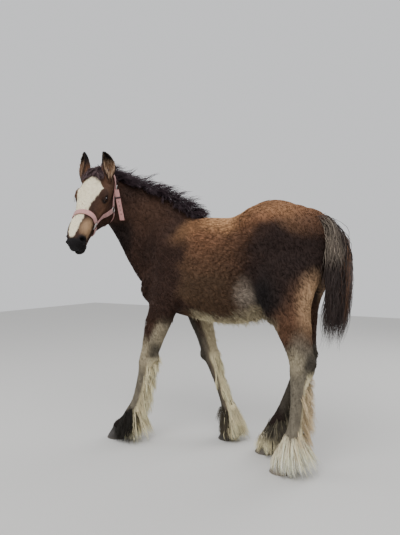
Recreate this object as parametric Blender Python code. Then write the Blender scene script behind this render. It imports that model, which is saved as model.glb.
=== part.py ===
# Irish cob foal, a still life-size model, standing with its head turned to its left, in a webbing headcollar.
# Metres, +Z up. The foal faces -X and its left side is -Y. The origin is the middle of its box, on the floor.

import math

import bmesh
import bpy
import numpy as np
from mathutils import Euler, Matrix, Vector
from mathutils.bvhtree import BVHTree

# Driving sizes.
EYE_RADIUS = 0.0165
EAR_LENGTH = 0.116
STRAP_WIDTH = 0.021
STRAP_THICKNESS = 0.0032
GAP = 0.0003
FLOOR_CLEARANCE = 0.004

# The head's own frame: the poll, and which way the face points.
POLL = Vector((-0.491, -0.239, 1.212))
HEAD_YAW = math.radians(-74.5)
HEAD_PITCH = math.radians(49)
HEAD_ROLL = math.radians(2)

# The eye on the left, in the head's frame.
EYE_PLACE = (0.140, 0.0570, -0.044)

# Where the flesh is parted: the plane across the shoulders, the slanting plane behind the skull with the
# box that holds the head, the knees' and hocks' heights, and the slope of the hooves' upper edge.
SHOULDER = (Vector((-0.125, 0, 0.98)), Vector((-0.80, 0, 0.60)))
NAPE_POINT = (-0.036, 0, 0.0)
NAPE_DIRECTION = Vector((0.90, -0.10, 0.42))
HEAD_BLOCK = ((-0.16, -0.235), (0.12, 0.20))
KNEE_CUT = {"fore": 0.405, "hind": 0.470}
CORONET_HEIGHT = 0.050
CORONET_SLOPE = 0.36

# The headcollar, by places round the head's core line: the distance from the poll and the angle in degrees
# from the brow, on the left side.
CORE_DEPTH = -0.070
NOSE_RING = (0.257, 114)
JAW_RING = (0.104, 140)
BUCKLE = (0.020, 101)
CROWN = (JAW_RING, (0.062, 122), (0.022, 103), (-0.004, 78), (-0.018, 52), (-0.026, 26), (-0.029, 0))
THROAT = (JAW_RING, (0.106, 156), (0.132, 167), (0.158, 172))
THROAT_WIDTH = 0.013
RING_BAR = 0.0024
RING_SIDES = 10
STRAP_END_LENGTH = 0.135
STRAP_END_DRIFT = 0.022

# Locks of hair: how deep a root is sunk, the thickness, and for each growth its lengths and widths.
ROOT_DEPTH = 0.008
LOCK_THICKNESS = 0.0042
MANE_LOCKS = 21
MANE_SIZES = ((0.080, 0.0205), (0.094, 0.0230), (0.106, 0.0215))
FORELOCK_SIZES = ((0.062, 0.0120), (0.074, 0.0135), (0.052, 0.0110))
TAIL_LOCKS = 13
TAIL_WIDTHS = (0.023, 0.028, 0.020)
FRINGE_WIDENING = 1.3
FEATHER_SIZES = ((0.090, 0.0170), (0.105, 0.0190), (0.078, 0.0155))

# Fineness of the flesh.
FLESH_VOXEL = 0.0046
BODY_TRIANGLES = 3700
HEAD_TRIANGLES = 1700

COATS = {
    "bay": ((0.105, 0.042, 0.022), 0.85),
    "dark_bay": ((0.045, 0.024, 0.018), 0.85),
    "face": ((0.24, 0.15, 0.10), 0.85),
    "mane": ((0.022, 0.016, 0.018), 0.75),
    "tail": ((0.030, 0.022, 0.022), 0.75),
    "feather": ((0.62, 0.55, 0.44), 0.85),
    "leg_grey": ((0.16, 0.125, 0.105), 0.85),
    "horn": ((0.10, 0.09, 0.085), 0.45),
    "eye": ((0.012, 0.008, 0.006), 0.08),
    "webbing": ((0.75, 0.30, 0.31), 0.8),
    "metal": ((0.62, 0.58, 0.55), 0.3),
}


def clear_scene():
    for item in list(bpy.data.objects):
        bpy.data.objects.remove(item)


def material(name):
    found = bpy.data.materials.get(name)
    if found:
        return found
    colour, roughness = COATS[name]
    made = bpy.data.materials.new(name)
    made.use_nodes = True
    shader = made.node_tree.nodes["Principled BSDF"]
    shader.inputs["Base Color"].default_value = (*colour, 1)
    shader.inputs["Roughness"].default_value = roughness
    shader.inputs["Metallic"].default_value = 1.0 if name == "metal" else 0.0
    made.diffuse_color = (*colour, 1)
    return made


def add_object(name, mesh, coat=None):
    made = bpy.data.objects.new(name, mesh)
    bpy.context.scene.collection.objects.link(made)
    if coat:
        mesh.materials.clear()
        mesh.materials.append(material(coat))
        mesh.shade_smooth()
    return made


def evaluated(item):
    """The mesh of an object with its modifiers applied, as a new mesh."""
    bpy.context.view_layer.update()
    depsgraph = bpy.context.evaluated_depsgraph_get()
    mesh = bpy.data.meshes.new_from_object(item.evaluated_get(depsgraph))
    mesh.transform(item.matrix_world)
    return mesh


def apply_modifiers(item):
    mesh = evaluated(item)
    item.modifiers.clear()
    item.data = mesh
    item.matrix_world = Matrix.Identity(4)


def catmull(rows, steps):
    """A smooth run through rows of numbers, with the given steps in each span."""
    rows = np.asarray(rows, float)
    before = np.vstack([2 * rows[0] - rows[1], rows[:-1]])
    after = np.vstack([rows[1:], 2 * rows[-1] - rows[-2]])
    slope = (after - before) / 2
    t = np.linspace(0, 1, steps, endpoint=False)[:, None, None]
    a, b, m, n = rows[:-1], rows[1:], slope[:-1], slope[1:]
    run = (
        (2 * t**3 - 3 * t**2 + 1) * a
        + (t**3 - 2 * t**2 + t) * m
        + (3 * t**2 - 2 * t**3) * b
        + (t**3 - t**2) * n
    )
    return np.vstack([run.transpose(1, 0, 2).reshape(-1, rows.shape[1]), rows[-1]])


def skin_rings(name, rings, coat=None):
    """A closed mesh over rings of points, with one face over each end."""
    bm = bmesh.new()
    loops = [[bm.verts.new(p) for p in ring] for ring in rings]
    count = len(loops[0])
    for low, high in zip(loops, loops[1:]):
        for i in range(count):
            j = (i + 1) % count
            bm.faces.new((low[i], low[j], high[j], high[i]))
    bm.faces.new(loops[0][::-1])
    bm.faces.new(loops[-1])
    bmesh.ops.recalc_face_normals(bm, faces=bm.faces)
    mesh = bpy.data.meshes.new(name)
    bm.to_mesh(mesh)
    bm.free()
    return add_object(name, mesh, coat)


def loft(name, stations, sides=20, steps=4, power=1.0, coat=None):
    """Rounded rings carried through stations, each of a centre, a half-height vector and a half-width vector.
    A power under 1 squares the rings."""
    angles = np.linspace(0, 2 * math.pi, sides, endpoint=False)
    c, s = np.cos(angles), np.sin(angles)
    c, s = np.sign(c) * abs(c) ** power, np.sign(s) * abs(s) ** power
    run = catmull(stations, steps)
    rings = [row[:3] + np.outer(s, row[3:6]) + np.outer(c, row[6:9]) for row in run]
    return skin_rings(name, rings, coat)


def ellipsoid(name, centre, radii, turn=(0, 0, 0), frame=None, detail=3):
    """An ellipsoid, turned by degrees about X, Y and Z, and placed in a frame of its own if one is given."""
    bm = bmesh.new()
    bmesh.ops.create_icosphere(bm, subdivisions=detail, radius=1)
    mesh = bpy.data.meshes.new(name)
    bm.to_mesh(mesh)
    bm.free()
    spin = Matrix.LocRotScale(Vector(centre), euler(turn), Vector(radii))
    mesh.transform((frame or Matrix.Identity(4)) @ spin)
    return add_object(name, mesh)


def euler(degrees):
    return Euler([math.radians(a) for a in degrees]).to_quaternion()


def keep_largest(item, rank=0):
    """Drops every loose surface but the one with the most volume, or with the rank given."""
    bm = bmesh.new()
    bm.from_mesh(item.data)
    left, shells = set(bm.faces), []
    while left:
        shell, front = set(), [left.pop()]
        while front:
            face = front.pop()
            shell.add(face)
            for edge in face.edges:
                for other in edge.link_faces:
                    if other in left:
                        left.discard(other)
                        front.append(other)
        shells.append(shell)

    def volume(shell):
        total = 0.0
        for face in shell:
            points = [v.co for v in face.verts]
            for a, b in zip(points[1:], points[2:]):
                total += points[0].dot(a.cross(b)) / 6
        return abs(total)

    shells.sort(key=volume, reverse=True)
    del shells[rank]
    bmesh.ops.delete(bm, geom=[face for shell in shells for face in shell], context="FACES")
    bmesh.ops.triangulate(bm, faces=bm.faces)
    bm.to_mesh(item.data)
    bm.free()


def boolean(item, others, operation, solver="EXACT"):
    """One Boolean with a collection of closed meshes, applied, and the others removed."""
    group = bpy.data.collections.new("operands")
    bpy.context.scene.collection.children.link(group)
    for other in others:
        group.objects.link(other)
    step = item.modifiers.new(operation, "BOOLEAN")
    step.operand_type = "COLLECTION"
    step.collection = group
    step.operation = operation
    step.solver = solver
    apply_modifiers(item)
    for other in others:
        bpy.data.objects.remove(other)
    bpy.data.collections.remove(group)
    return item


def joined(name, items):
    """One object of several closed shells."""
    bm = bmesh.new()
    for item in items:
        bm.from_mesh(item.data)
        bpy.data.objects.remove(item)
    mesh = bpy.data.meshes.new(name)
    bm.to_mesh(mesh)
    bm.free()
    return add_object(name, mesh)


def flesh(shells, name="whole"):
    """Shells grown together into one smooth skin of fine even faces."""
    body = joined(name, shells)
    remesh = body.modifiers.new("grow together", "REMESH")
    remesh.mode = "VOXEL"
    remesh.voxel_size = FLESH_VOXEL
    apply_modifiers(body)
    count = len(body.data.vertices)
    places = np.empty(count * 3, np.float32)
    body.data.vertices.foreach_get("co", places)
    places = places.reshape(-1, 3)
    to_head = np.linalg.norm(places - np.array(on_head(0.20, 0, -0.06)), axis=1)
    on_trunk = np.clip((places[:, 2] - 0.52) / 0.12, 0, 1) * np.clip((to_head - 0.24) / 0.06, 0, 1)
    weigh(body, "trunk", on_trunk)
    for group, rounds in (("trunk", 150), ("", 5)):
        smooth = body.modifiers.new("smooth", "SMOOTH")
        smooth.factor = 0.5
        smooth.iterations = rounds
        smooth.vertex_group = group
    apply_modifiers(body)
    body.vertex_groups.clear()
    return body


def thinned(item, name, triangles, block=None):
    """A copy with about so many triangles, of the part inside a block if one is given."""
    made = duplicate(item, name)
    if block:
        boolean(made, [block], "INTERSECT")
    thin = made.modifiers.new("thin", "DECIMATE")
    thin.use_collapse_triangulate = True
    made.data.calc_loop_triangles()
    thin.ratio = triangles / len(made.data.loop_triangles)
    apply_modifiers(made)
    keep_largest(made)
    return made


def weigh(item, name, weights):
    """A vertex group from an array of weights, in steps of a tenth."""
    group = item.vertex_groups.new(name=name)
    steps = np.round(weights * 10).astype(int)
    for step in range(1, 11):
        group.add(np.flatnonzero(steps == step).tolist(), step / 10, "REPLACE")


# The torso and limbs.


def ring(x, y, z, fore_aft, across):
    """A level station of a leg: half-sizes along X and along Y."""
    return (x, y, z, 0, across, 0, fore_aft, 0, 0)


def torso_shells():
    # x, top, bottom and half-width, from the breast to the buttocks
    outline = (
        (-0.365, 0.80, 0.70, 0.045),
        (-0.340, 0.87, 0.640, 0.085),
        (-0.260, 0.95, 0.585, 0.118),
        (-0.150, 1.000, 0.560, 0.136),
        (-0.040, 1.002, 0.548, 0.148),
        (0.060, 0.998, 0.543, 0.154),
        (0.140, 1.030, 0.556, 0.152),
        (0.220, 1.064, 0.590, 0.146),
        (0.300, 1.058, 0.640, 0.138),
        (0.380, 1.018, 0.690, 0.122),
        (0.440, 0.970, 0.750, 0.090),
        (0.478, 0.920, 0.810, 0.050),
    )
    stations = [
        (x, 0, (top + low) / 2, 0, 0, (top - low) / 2, 0, half, 0)
        for x, top, low, half in outline
    ]
    shells = [loft("barrel", stations, sides=32, power=0.88)]
    for side in (-1, 1):
        shells += [
            ellipsoid("shoulder", (-0.20, side * 0.082, 0.80), (0.095, 0.056, 0.19), (0, -24, 0)),
            ellipsoid("shoulder_point", (-0.305, side * 0.075, 0.695), (0.062, 0.052, 0.075)),
            ellipsoid("upper_arm", (-0.235, side * 0.098, 0.655), (0.085, 0.050, 0.085), (0, 40, 0)),
            ellipsoid("hip", (0.235, side * 0.085, 0.965), (0.115, 0.060, 0.075)),
            ellipsoid("rump", (0.345, side * 0.072, 0.90), (0.135, 0.070, 0.14), (0, 25, 0)),
            ellipsoid("buttock", (0.425, side * 0.070, 0.81), (0.062, 0.055, 0.13), (0, 8, 0)),
            ellipsoid("flank", (0.17, side * 0.085, 0.72), (0.12, 0.060, 0.12)),
        ]
    return shells


FORE_LEG = (
    # height, half-size along and across
    (0.760, 0.088, 0.050),
    (0.680, 0.088, 0.054),
    (0.600, 0.074, 0.050),
    (0.530, 0.061, 0.045),
    (0.460, 0.049, 0.039),
    (0.400, 0.043, 0.038),
    (0.365, 0.042, 0.038),
    (0.320, 0.033, 0.030),
    (0.250, 0.028, 0.026),
    (0.185, 0.028, 0.026),
    (0.140, 0.035, 0.032),
    (0.104, 0.031, 0.029),
    (0.072, 0.037, 0.036),
    (0.050, 0.038, 0.037),
)
HIND_LEG = (
    (0.860, 0.140, 0.060),
    (0.740, 0.132, 0.068),
    (0.640, 0.102, 0.060),
    (0.560, 0.076, 0.050),
    (0.480, 0.057, 0.041),
    (0.430, 0.053, 0.038),
    (0.385, 0.048, 0.036),
    (0.340, 0.036, 0.031),
    (0.265, 0.030, 0.027),
    (0.190, 0.030, 0.027),
    (0.145, 0.037, 0.033),
    (0.105, 0.032, 0.030),
    (0.075, 0.038, 0.037),
    (0.050, 0.039, 0.038),
)
# For each leg its sizes, then where each station stands: x and y.
LEGS = {
    "fore_left": (
        FORE_LEG,
        (-0.200, -0.205, -0.228, -0.252, -0.276, -0.297, -0.308,
         -0.322, -0.343, -0.365, -0.388, -0.418, -0.452, -0.462),
        (-0.085, -0.100, -0.113, -0.118, -0.120, -0.120, -0.120,
         -0.120, -0.120, -0.120, -0.120, -0.120, -0.120, -0.120),
    ),
    "fore_right": (
        FORE_LEG,
        (-0.200, -0.200, -0.190, -0.172, -0.147, -0.128, -0.117,
         -0.100, -0.072, -0.046, -0.026, -0.020, -0.024, -0.026),
        (0.085, 0.100, 0.113, 0.118, 0.120, 0.120, 0.120,
         0.120, 0.120, 0.120, 0.120, 0.120, 0.120, 0.120),
    ),
    "hind_left": (
        HIND_LEG,
        (0.330, 0.335, 0.345, 0.370, 0.393, 0.406, 0.404,
         0.394, 0.388, 0.380, 0.372, 0.352, 0.335, 0.328),
        (-0.070, -0.100, -0.118, -0.120, -0.118, -0.115, -0.114,
         -0.113, -0.112, -0.112, -0.113, -0.114, -0.115, -0.115),
    ),
    "hind_right": (
        HIND_LEG,
        (0.325, 0.315, 0.305, 0.318, 0.338, 0.350, 0.345,
         0.330, 0.298, 0.266, 0.246, 0.221, 0.200, 0.192),
        (0.070, 0.100, 0.114, 0.108, 0.090, 0.076, 0.068,
         0.064, 0.059, 0.055, 0.053, 0.051, 0.050, 0.050),
    ),
}
HOOVES = {
    # x and y of the sole's middle
    "fore_left": (-0.482, -0.120),
    "fore_right": (-0.030, 0.120),
    "hind_left": (0.322, -0.115),
    "hind_right": (0.187, 0.050),
}


def leg_stations(leg):
    sizes, xs, ys = LEGS[leg]
    return [ring(x, y, z, a, b) for (z, a, b), x, y in zip(sizes, xs, ys)]


def leg_shells(leg):
    shells = [loft(leg, leg_stations(leg), sides=20, steps=4)]
    sizes, xs, ys = LEGS[leg]
    if leg.startswith("hind"):
        # the point of the hock and the tendon above it
        shells.append(ellipsoid("hock", (xs[5] + 0.034, ys[5], 0.436), (0.024, 0.019, 0.036), (0, -8, 0)))
        shells.append(ellipsoid("tendon", (xs[4] + 0.036, ys[4], 0.500), (0.014, 0.014, 0.060), (0, 12, 0)))
        shells.append(ellipsoid("stifle", (xs[2] - 0.060, ys[2], 0.630), (0.045, 0.040, 0.065)))
    else:
        # the knee's flat front and the bone behind it
        shells.append(ellipsoid("knee", (xs[5] - 0.012, ys[5], 0.382), (0.034, 0.038, 0.040)))
        shells.append(ellipsoid("pisiform", (xs[5] + 0.034, ys[5], 0.388), (0.018, 0.016, 0.026)))
        shells.append(ellipsoid("elbow", (-0.158, ys[1], 0.655), (0.040, 0.034, 0.045)))
    shells.append(ellipsoid("ergot", (xs[10] + 0.018, ys[10], 0.135), (0.024, 0.026, 0.028)))
    return shells


# The neck runs from inside the shoulders to the back of the skull: crest, throat and half-width.
NECK = (
    ((-0.040, 0.000, 0.970), (-0.240, 0.000, 0.620), 0.120),
    ((-0.130, 0.000, 1.015), (-0.382, -0.005, 0.690), 0.110),
    ((-0.250, 0.004, 1.090), (-0.455, -0.018, 0.775), 0.092),
    ((-0.372, -0.020, 1.150), (-0.497, -0.052, 0.862), 0.076),
    ((-0.465, -0.085, 1.185), (-0.516, -0.105, 0.945), 0.064),
    ((-0.502, -0.160, 1.198), (-0.520, -0.152, 1.000), 0.056),
    ((-0.498, -0.205, 1.196), (-0.506, -0.194, 1.020), 0.050),
)


def neck_stations():
    tops = np.array([row[0] for row in NECK])
    lows = np.array([row[1] for row in NECK])
    middles = (tops + lows) / 2
    forward = np.gradient(middles, axis=0)
    across = np.cross((tops - lows) / 2, forward)
    across *= (np.array([row[2] for row in NECK]) / np.linalg.norm(across, axis=1))[:, None]
    return np.hstack([middles, (tops - lows) / 2, across])


# The head, in its own frame: along the face from the poll, up from the brow, and to the foal's left.


def head_frame():
    forward = Vector((math.cos(HEAD_YAW), math.sin(HEAD_YAW), 0))
    up = Vector((0, 0, 1))
    along = math.cos(HEAD_PITCH) * forward - math.sin(HEAD_PITCH) * up
    brow = math.sin(HEAD_PITCH) * forward + math.cos(HEAD_PITCH) * up
    left = up.cross(forward)
    c, s = math.cos(HEAD_ROLL), math.sin(HEAD_ROLL)
    brow, left = c * brow + s * left, c * left - s * brow
    return Matrix((along, left, brow)).transposed().to_4x4()


HEAD = Matrix.Translation(POLL) @ head_frame()


def on_head(s, left, up):
    return HEAD @ Vector((s, left, up))


def head_loft(name, rows, sides=24, power=0.9):
    """Stations of the head: distance from the poll, top, bottom and half-width."""
    stations = []
    for s, top, low, half in rows:
        centre = on_head(s, 0, (top + low) / 2)
        tall = HEAD.to_3x3() @ Vector((0, 0, (top - low) / 2))
        wide = HEAD.to_3x3() @ Vector((0, half, 0))
        stations.append((*centre, *tall, *wide))
    return loft(name, stations, sides=sides, steps=4, power=power)


def head_shells():
    skull = (
        (-0.045, -0.030, -0.090, 0.030),
        (-0.030, -0.008, -0.105, 0.050),
        (0.000, 0.002, -0.115, 0.062),
        (0.050, 0.008, -0.120, 0.067),
        (0.100, 0.008, -0.120, 0.070),
        (0.140, 0.002, -0.118, 0.067),
        (0.180, -0.006, -0.115, 0.059),
        (0.230, -0.016, -0.110, 0.049),
        (0.280, -0.020, -0.105, 0.042),
        (0.325, -0.024, -0.105, 0.038),
        (0.362, -0.028, -0.104, 0.037),
        (0.388, -0.036, -0.098, 0.032),
        (0.402, -0.052, -0.085, 0.018),
    )
    jaw = (
        (0.010, -0.060, -0.140, 0.026),
        (0.045, -0.060, -0.182, 0.036),
        (0.095, -0.060, -0.204, 0.041),
        (0.145, -0.060, -0.199, 0.040),
        (0.195, -0.060, -0.172, 0.036),
        (0.245, -0.060, -0.146, 0.031),
        (0.300, -0.070, -0.128, 0.028),
        (0.340, -0.080, -0.124, 0.026),
        (0.368, -0.090, -0.126, 0.023),
        (0.384, -0.100, -0.122, 0.015),
    )
    shells = [head_loft("skull", skull), head_loft("jaw", jaw, sides=20, power=0.85)]
    for side in (-1, 1):
        parts = (
            # name, centre, radii and turn, all in the head's frame
            ("brow", (0.122, side * 0.053, -0.030), (0.036, 0.023, 0.024), (0, 0, 0)),
            ("cheek", (0.110, side * 0.034, -0.128), (0.076, 0.026, 0.064), (0, 8, 0)),
            ("cheekbone", (0.195, side * 0.045, -0.072), (0.062, 0.014, 0.016), (0, 0, side * -11)),
            ("nose_side", (0.300, side * 0.026, -0.050), (0.070, 0.022, 0.026), (0, 0, 0)),
            ("nostril_flare", (0.366, side * 0.026, -0.058), (0.026, 0.015, 0.025), (0, 30, 0)),
            ("ear_root", (0.036, side * 0.050, -0.026), (0.030, 0.022, 0.028), (0, 0, 0)),
            ("upper_lip", (0.374, side * 0.014, -0.086), (0.026, 0.021, 0.024), (0, 0, 0)),
        )
        shells += [ellipsoid(name, c, r, turn, HEAD) for name, c, r, turn in parts]
    shells.append(ellipsoid("lower_lip", (0.372, 0, -0.116), (0.022, 0.024, 0.014), (0, 0, 0), HEAD))
    shells.append(ellipsoid("chin", (0.350, 0, -0.124), (0.024, 0.019, 0.014), (0, 0, 0), HEAD))
    return shells


def eye_centre(side):
    s, left, up = EYE_PLACE
    return on_head(s, side * left, up)


def ball(name, centre, radius, coat, detail=2):
    bm = bmesh.new()
    bmesh.ops.create_icosphere(bm, subdivisions=detail, radius=radius, matrix=Matrix.Translation(centre))
    mesh = bpy.data.meshes.new(name)
    bm.to_mesh(mesh)
    bm.free()
    return add_object(name, mesh, coat)


def tube_along(name, points, widths, flats, normal_at, sides=8, coat=None):
    """A tube of oval section along points; normal_at gives the direction of its thickness."""
    points = [Vector(p) for p in points]
    rings = []
    for i, point in enumerate(points):
        ahead = (points[min(i + 1, len(points) - 1)] - points[max(i - 1, 0)]).normalized()
        up = Vector(normal_at(i))
        up = (up - up.dot(ahead) * ahead).normalized()
        across = ahead.cross(up)
        ring_points = []
        for k in range(sides):
            angle = 2 * math.pi * k / sides
            ring_points.append(
                point + across * widths[i] * math.cos(angle) + up * flats[i] * math.sin(angle)
            )
        rings.append(ring_points)
    return skin_rings(name, rings, coat)


def lid(side, upper):
    """A raised rim over half of the eye, from corner to corner."""
    centre = eye_centre(side)
    out = (HEAD.to_3x3() @ Vector((0.10, side, 0.22))).normalized()
    long = (HEAD.to_3x3() @ Vector((0.95, 0, -0.30))).normalized()
    long = (long - long.dot(out) * out).normalized()
    tall = out.cross(long)
    if tall.dot(HEAD.to_3x3() @ Vector((0, 0, 1))) < 0:
        tall = -tall
    if not upper:
        tall = -tall
    points, widths = [], []
    reach = EYE_RADIUS * (0.78 if upper else 0.62)
    for k in range(7):
        angle = math.pi * k / 6
        across = EYE_RADIUS * 1.02 * math.cos(angle)
        rise = reach * math.sin(angle)
        depth = math.sqrt(max(0.0, (EYE_RADIUS * 1.10) ** 2 - across**2 - rise**2))
        points.append(centre + long * across + tall * rise + out * depth)
        widths.append(0.0042 if upper else 0.0034)
    return tube_along("lid", points, widths, [w * 0.9 for w in widths], lambda i: out, sides=4)


def nostril_cutter(side):
    """A comma-shaped pit in the side of the nose."""
    centre = (0.370, side * 0.040, -0.054)
    return ellipsoid("nostril", centre, (0.008, 0.012, 0.0155), (0, -28, side * 14), HEAD, detail=2)


def nostril_rim(side):
    """The raised wing round the pit."""
    points = []
    for angle in np.linspace(0, 2 * math.pi, 9, endpoint=False):
        s = 0.370 + 0.0105 * math.cos(angle) * 0.92 + 0.0175 * math.sin(angle) * 0.45
        up = -0.054 + 0.0175 * math.sin(angle) * 0.92 - 0.0105 * math.cos(angle) * 0.35
        left = side * (0.0385 - 0.15 * max(0.0, s - 0.370))
        points.append(on_head(s, left, up))
    out = HEAD.to_3x3() @ Vector((0, side, 0))
    rings = []
    for i, point in enumerate(points):
        ahead = (points[(i + 1) % len(points)] - points[i - 1]).normalized()
        across = ahead.cross(out).normalized()
        rings.append([
            point + across * 0.0034 * math.cos(a) + out * 0.0042 * math.sin(a)
            for a in (0, math.pi / 2, math.pi, 3 * math.pi / 2)
        ])
    return band_mesh("rim", rings, True, None)


def mouth_cutter():
    """A thin curved slab that parts the lips, round the front of the muzzle."""
    rings = []
    for k in range(13):
        turn = math.pi * (k / 12 - 0.5)
        s = 0.318 + 0.094 * math.cos(turn)
        left = 0.056 * math.sin(turn)
        up = -0.103 - 0.010 * math.cos(turn) ** 4 + 0.004 * abs(math.sin(turn))
        inner = (0.318 + (s - 0.318) * 0.84, left * 0.60)
        half = 0.0012
        rings.append([
            on_head(s, left, up - half),
            on_head(s, left, up + half),
            on_head(inner[0], inner[1], up + half * 0.4),
            on_head(inner[0], inner[1], up - half * 0.4),
        ])
    return skin_rings("mouth", rings)


def ear_mesh(name, side):
    """A cupped leaf: a wall whose rows are arcs, closed at the root and open towards the front and side."""
    root = on_head(0.036, side * 0.054, -0.020)
    axis = (HEAD.to_3x3() @ Vector((-0.62, side * 0.07, 0.80))).normalized()
    opening = (HEAD.to_3x3() @ Vector((0.62, side * 0.75, 0.40))).normalized()
    opening = (opening - opening.dot(axis) * axis).normalized()
    across = axis.cross(opening)
    if across.dot(HEAD.to_3x3() @ Vector((0, side, 0))) < 0:
        across = -across
    # share of the length, radius, half-angle of the wall in degrees, lean to the inside
    rows = catmull(
        (
            (-0.10, 0.0200, 172, 0.000),
            (0.08, 0.0215, 160, 0.000),
            (0.28, 0.0262, 128, 0.001),
            (0.50, 0.0265, 106, 0.001),
            (0.72, 0.0205, 92, -0.002),
            (0.90, 0.0110, 84, -0.007),
            (1.00, 0.0035, 80, -0.012),
        ),
        1,
    )
    columns = 7
    bm = bmesh.new()
    outer, inner = [], []
    for share, radius, half, lean in rows:
        base = root + axis * EAR_LENGTH * share + across * lean
        wall = min(0.0032, radius * 0.55)
        out_row, in_row = [], []
        for k in range(columns):
            angle = math.radians(half) * (2 * k / (columns - 1) - 1)
            ray = -opening * math.cos(angle) + across * math.sin(angle)
            out_row.append(bm.verts.new(base + ray * radius))
            in_row.append(bm.verts.new(base + ray * (radius - wall)))
        outer.append(out_row)
        inner.append(in_row)
    for grid in (outer, inner):
        for low, high in zip(grid, grid[1:]):
            for k in range(columns - 1):
                bm.faces.new((low[k], low[k + 1], high[k + 1], high[k]))
    for k in range(columns - 1):
        bm.faces.new((outer[0][k], outer[0][k + 1], inner[0][k + 1], inner[0][k]))
        bm.faces.new((outer[-1][k], outer[-1][k + 1], inner[-1][k + 1], inner[-1][k]))
    for i in range(len(rows) - 1):
        for k in (0, columns - 1):
            bm.faces.new((outer[i][k], outer[i + 1][k], inner[i + 1][k], inner[i][k]))
    bmesh.ops.recalc_face_normals(bm, faces=bm.faces)
    mesh = bpy.data.meshes.new(name)
    bm.to_mesh(mesh)
    bm.free()
    return add_object(name, mesh)


def box_cutter(name, low, high, spin=None):
    bm = bmesh.new()
    bmesh.ops.create_cube(bm, size=1)
    mesh = bpy.data.meshes.new(name)
    bm.to_mesh(mesh)
    bm.free()
    low, high = Vector(low), Vector(high)
    place = Matrix.Translation((low + high) / 2) @ Matrix.Diagonal((*(high - low), 1))
    mesh.transform((spin or Matrix.Identity(4)) @ place)
    return add_object(name, mesh)


def duplicate(item, name):
    return add_object(name, item.data.copy())


def inflated(item, distance, name="inflated"):
    """A copy whose surface stands proud of the item's by a distance."""
    made = duplicate(item, name)
    mesh = made.data
    count = len(mesh.vertices)
    places, normals = np.empty(count * 3, np.float32), np.empty(count * 3, np.float32)
    mesh.vertices.foreach_get("co", places)
    mesh.vertex_normals.foreach_get("vector", normals)
    mesh.vertices.foreach_set("co", places + normals * distance)
    mesh.update()
    return made


def half_space(point, normal):
    """A block with one face on a plane, reaching far along the normal."""
    spin = Vector(normal).normalized().to_track_quat("Z", "Y").to_matrix().to_4x4()
    return box_cutter("half", (-2, -2, 0), (2, 2, 4), Matrix.Translation(point) @ spin)


def kept_side(item, point, normal):
    """Cuts an item along a plane and keeps what lies on the normal's side, half the gap away."""
    normal = Vector(normal).normalized()
    return boolean(item, [half_space(Vector(point) + normal * GAP / 2, normal)], "INTERSECT")


def head_block(extra):
    """The head's side of the nape: ahead of a slanting plane, in a box of left and brow limits."""
    (right, low), (left, high) = HEAD_BLOCK
    corners = (-0.3, right - extra, low - extra), (0.6, left + extra, high + extra)
    block = box_cutter("head_block", *corners, HEAD)
    normal = (HEAD.to_3x3() @ NAPE_DIRECTION).normalized()
    return boolean(block, [half_space(HEAD @ Vector(NAPE_POINT) - normal * extra, normal)], "INTERSECT")


# For each leg the limits along X below the elbow or stifle and above it, those along Y, and the top.
LEG_BLOCKS = {
    "fore_left": ((-0.70, -0.075), (-0.70, -0.115), (-0.40, -0.030), 0.600),
    "fore_right": ((-0.40, 0.095), (-0.40, -0.115), (0.030, 0.40), 0.600),
    "hind_left": ((0.190, 0.70), (0.236, 0.70), (-0.40, 0), 0.640),
    "hind_right": ((0.100, 0.70), (0.196, 0.70), (0, 0.40), 0.640),
}
BLOCK_STEP = 0.52


def leg_block(leg, extra):
    """The two storeys of room that hold a leg, grown by an extra."""
    below, above, (y0, y1), top = LEG_BLOCKS[leg]
    storeys = [
        box_cutter("storey", (x0 - extra, y0 - extra, low), (x1 + extra, y1 + extra, high + extra))
        for (x0, x1), low, high in ((below, -0.1, BLOCK_STEP), (above, BLOCK_STEP - 0.05, top))
    ]
    return boolean(storeys[0], [storeys[1]], "UNION")


def coronet(leg):
    """The sloping plane between hoof and pastern: its middle and its upward direction."""
    x, y = HOOVES[leg]
    return Vector((x + 0.030, y, CORONET_HEIGHT)), Vector((CORONET_SLOPE, 0, 1)).normalized()


def hoof(leg):
    """A wall leaning back like the pastern, on a flat sole, with its top along the coronet."""
    x, y = HOOVES[leg]
    angles = np.linspace(0, 2 * math.pi, 18, endpoint=False)
    long, wide = np.cos(angles), np.sin(angles)
    top_point, up = coronet(leg)
    rings = []
    # share of the height, shift backwards, half-length and half-width
    for share, back, half_long, half_wide in (
        (0.00, 0.000, 0.0485, 0.0440),
        (0.10, 0.003, 0.0485, 0.0442),
        (0.60, 0.021, 0.0430, 0.0405),
        (1.00, 0.033, 0.0395, 0.0385),
    ):
        xs = x + back + half_long * long - 0.004 * (1 - wide**2) * (1 - share) * np.sign(long)
        ys = y + half_wide * wide
        tops = top_point.z - (xs - top_point.x) * up.x / up.z - GAP / 2
        rings.append([Vector((a, b, c * share)) for a, b, c in zip(xs, ys, tops)])
    return skin_rings("hoof_" + leg, rings, "horn")


def tail_spine():
    return catmull(((0.415, 0, 0.968), (0.462, 0, 0.968), (0.504, -0.002, 0.905),
                    (0.526, -0.004, 0.810), (0.524, -0.006, 0.700), (0.512, -0.008, 0.585),
                    (0.497, -0.010, 0.490)), 3)


def lock(points, width, thickness, facing):
    """A flat tapered lock along points, four-sided, widest a third of the way down and blunt at its tip."""
    points = np.asarray(points, float)
    ahead = np.gradient(points, axis=0)
    across = np.cross(ahead, facing)
    across /= np.linalg.norm(across, axis=1)[:, None]
    up = np.cross(across, ahead)
    up /= np.linalg.norm(up, axis=1)[:, None]
    share = np.linspace(0, 1, len(points))
    form = np.interp(share, (0, 0.3, 0.7, 1), (0.75, 1.0, 0.72, 0.16))[:, None]
    side, rise = across * form * width, up * form * thickness
    return skin_rings("lock", np.stack([points - side, points + rise, points + side, points - rise], 1))


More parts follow.
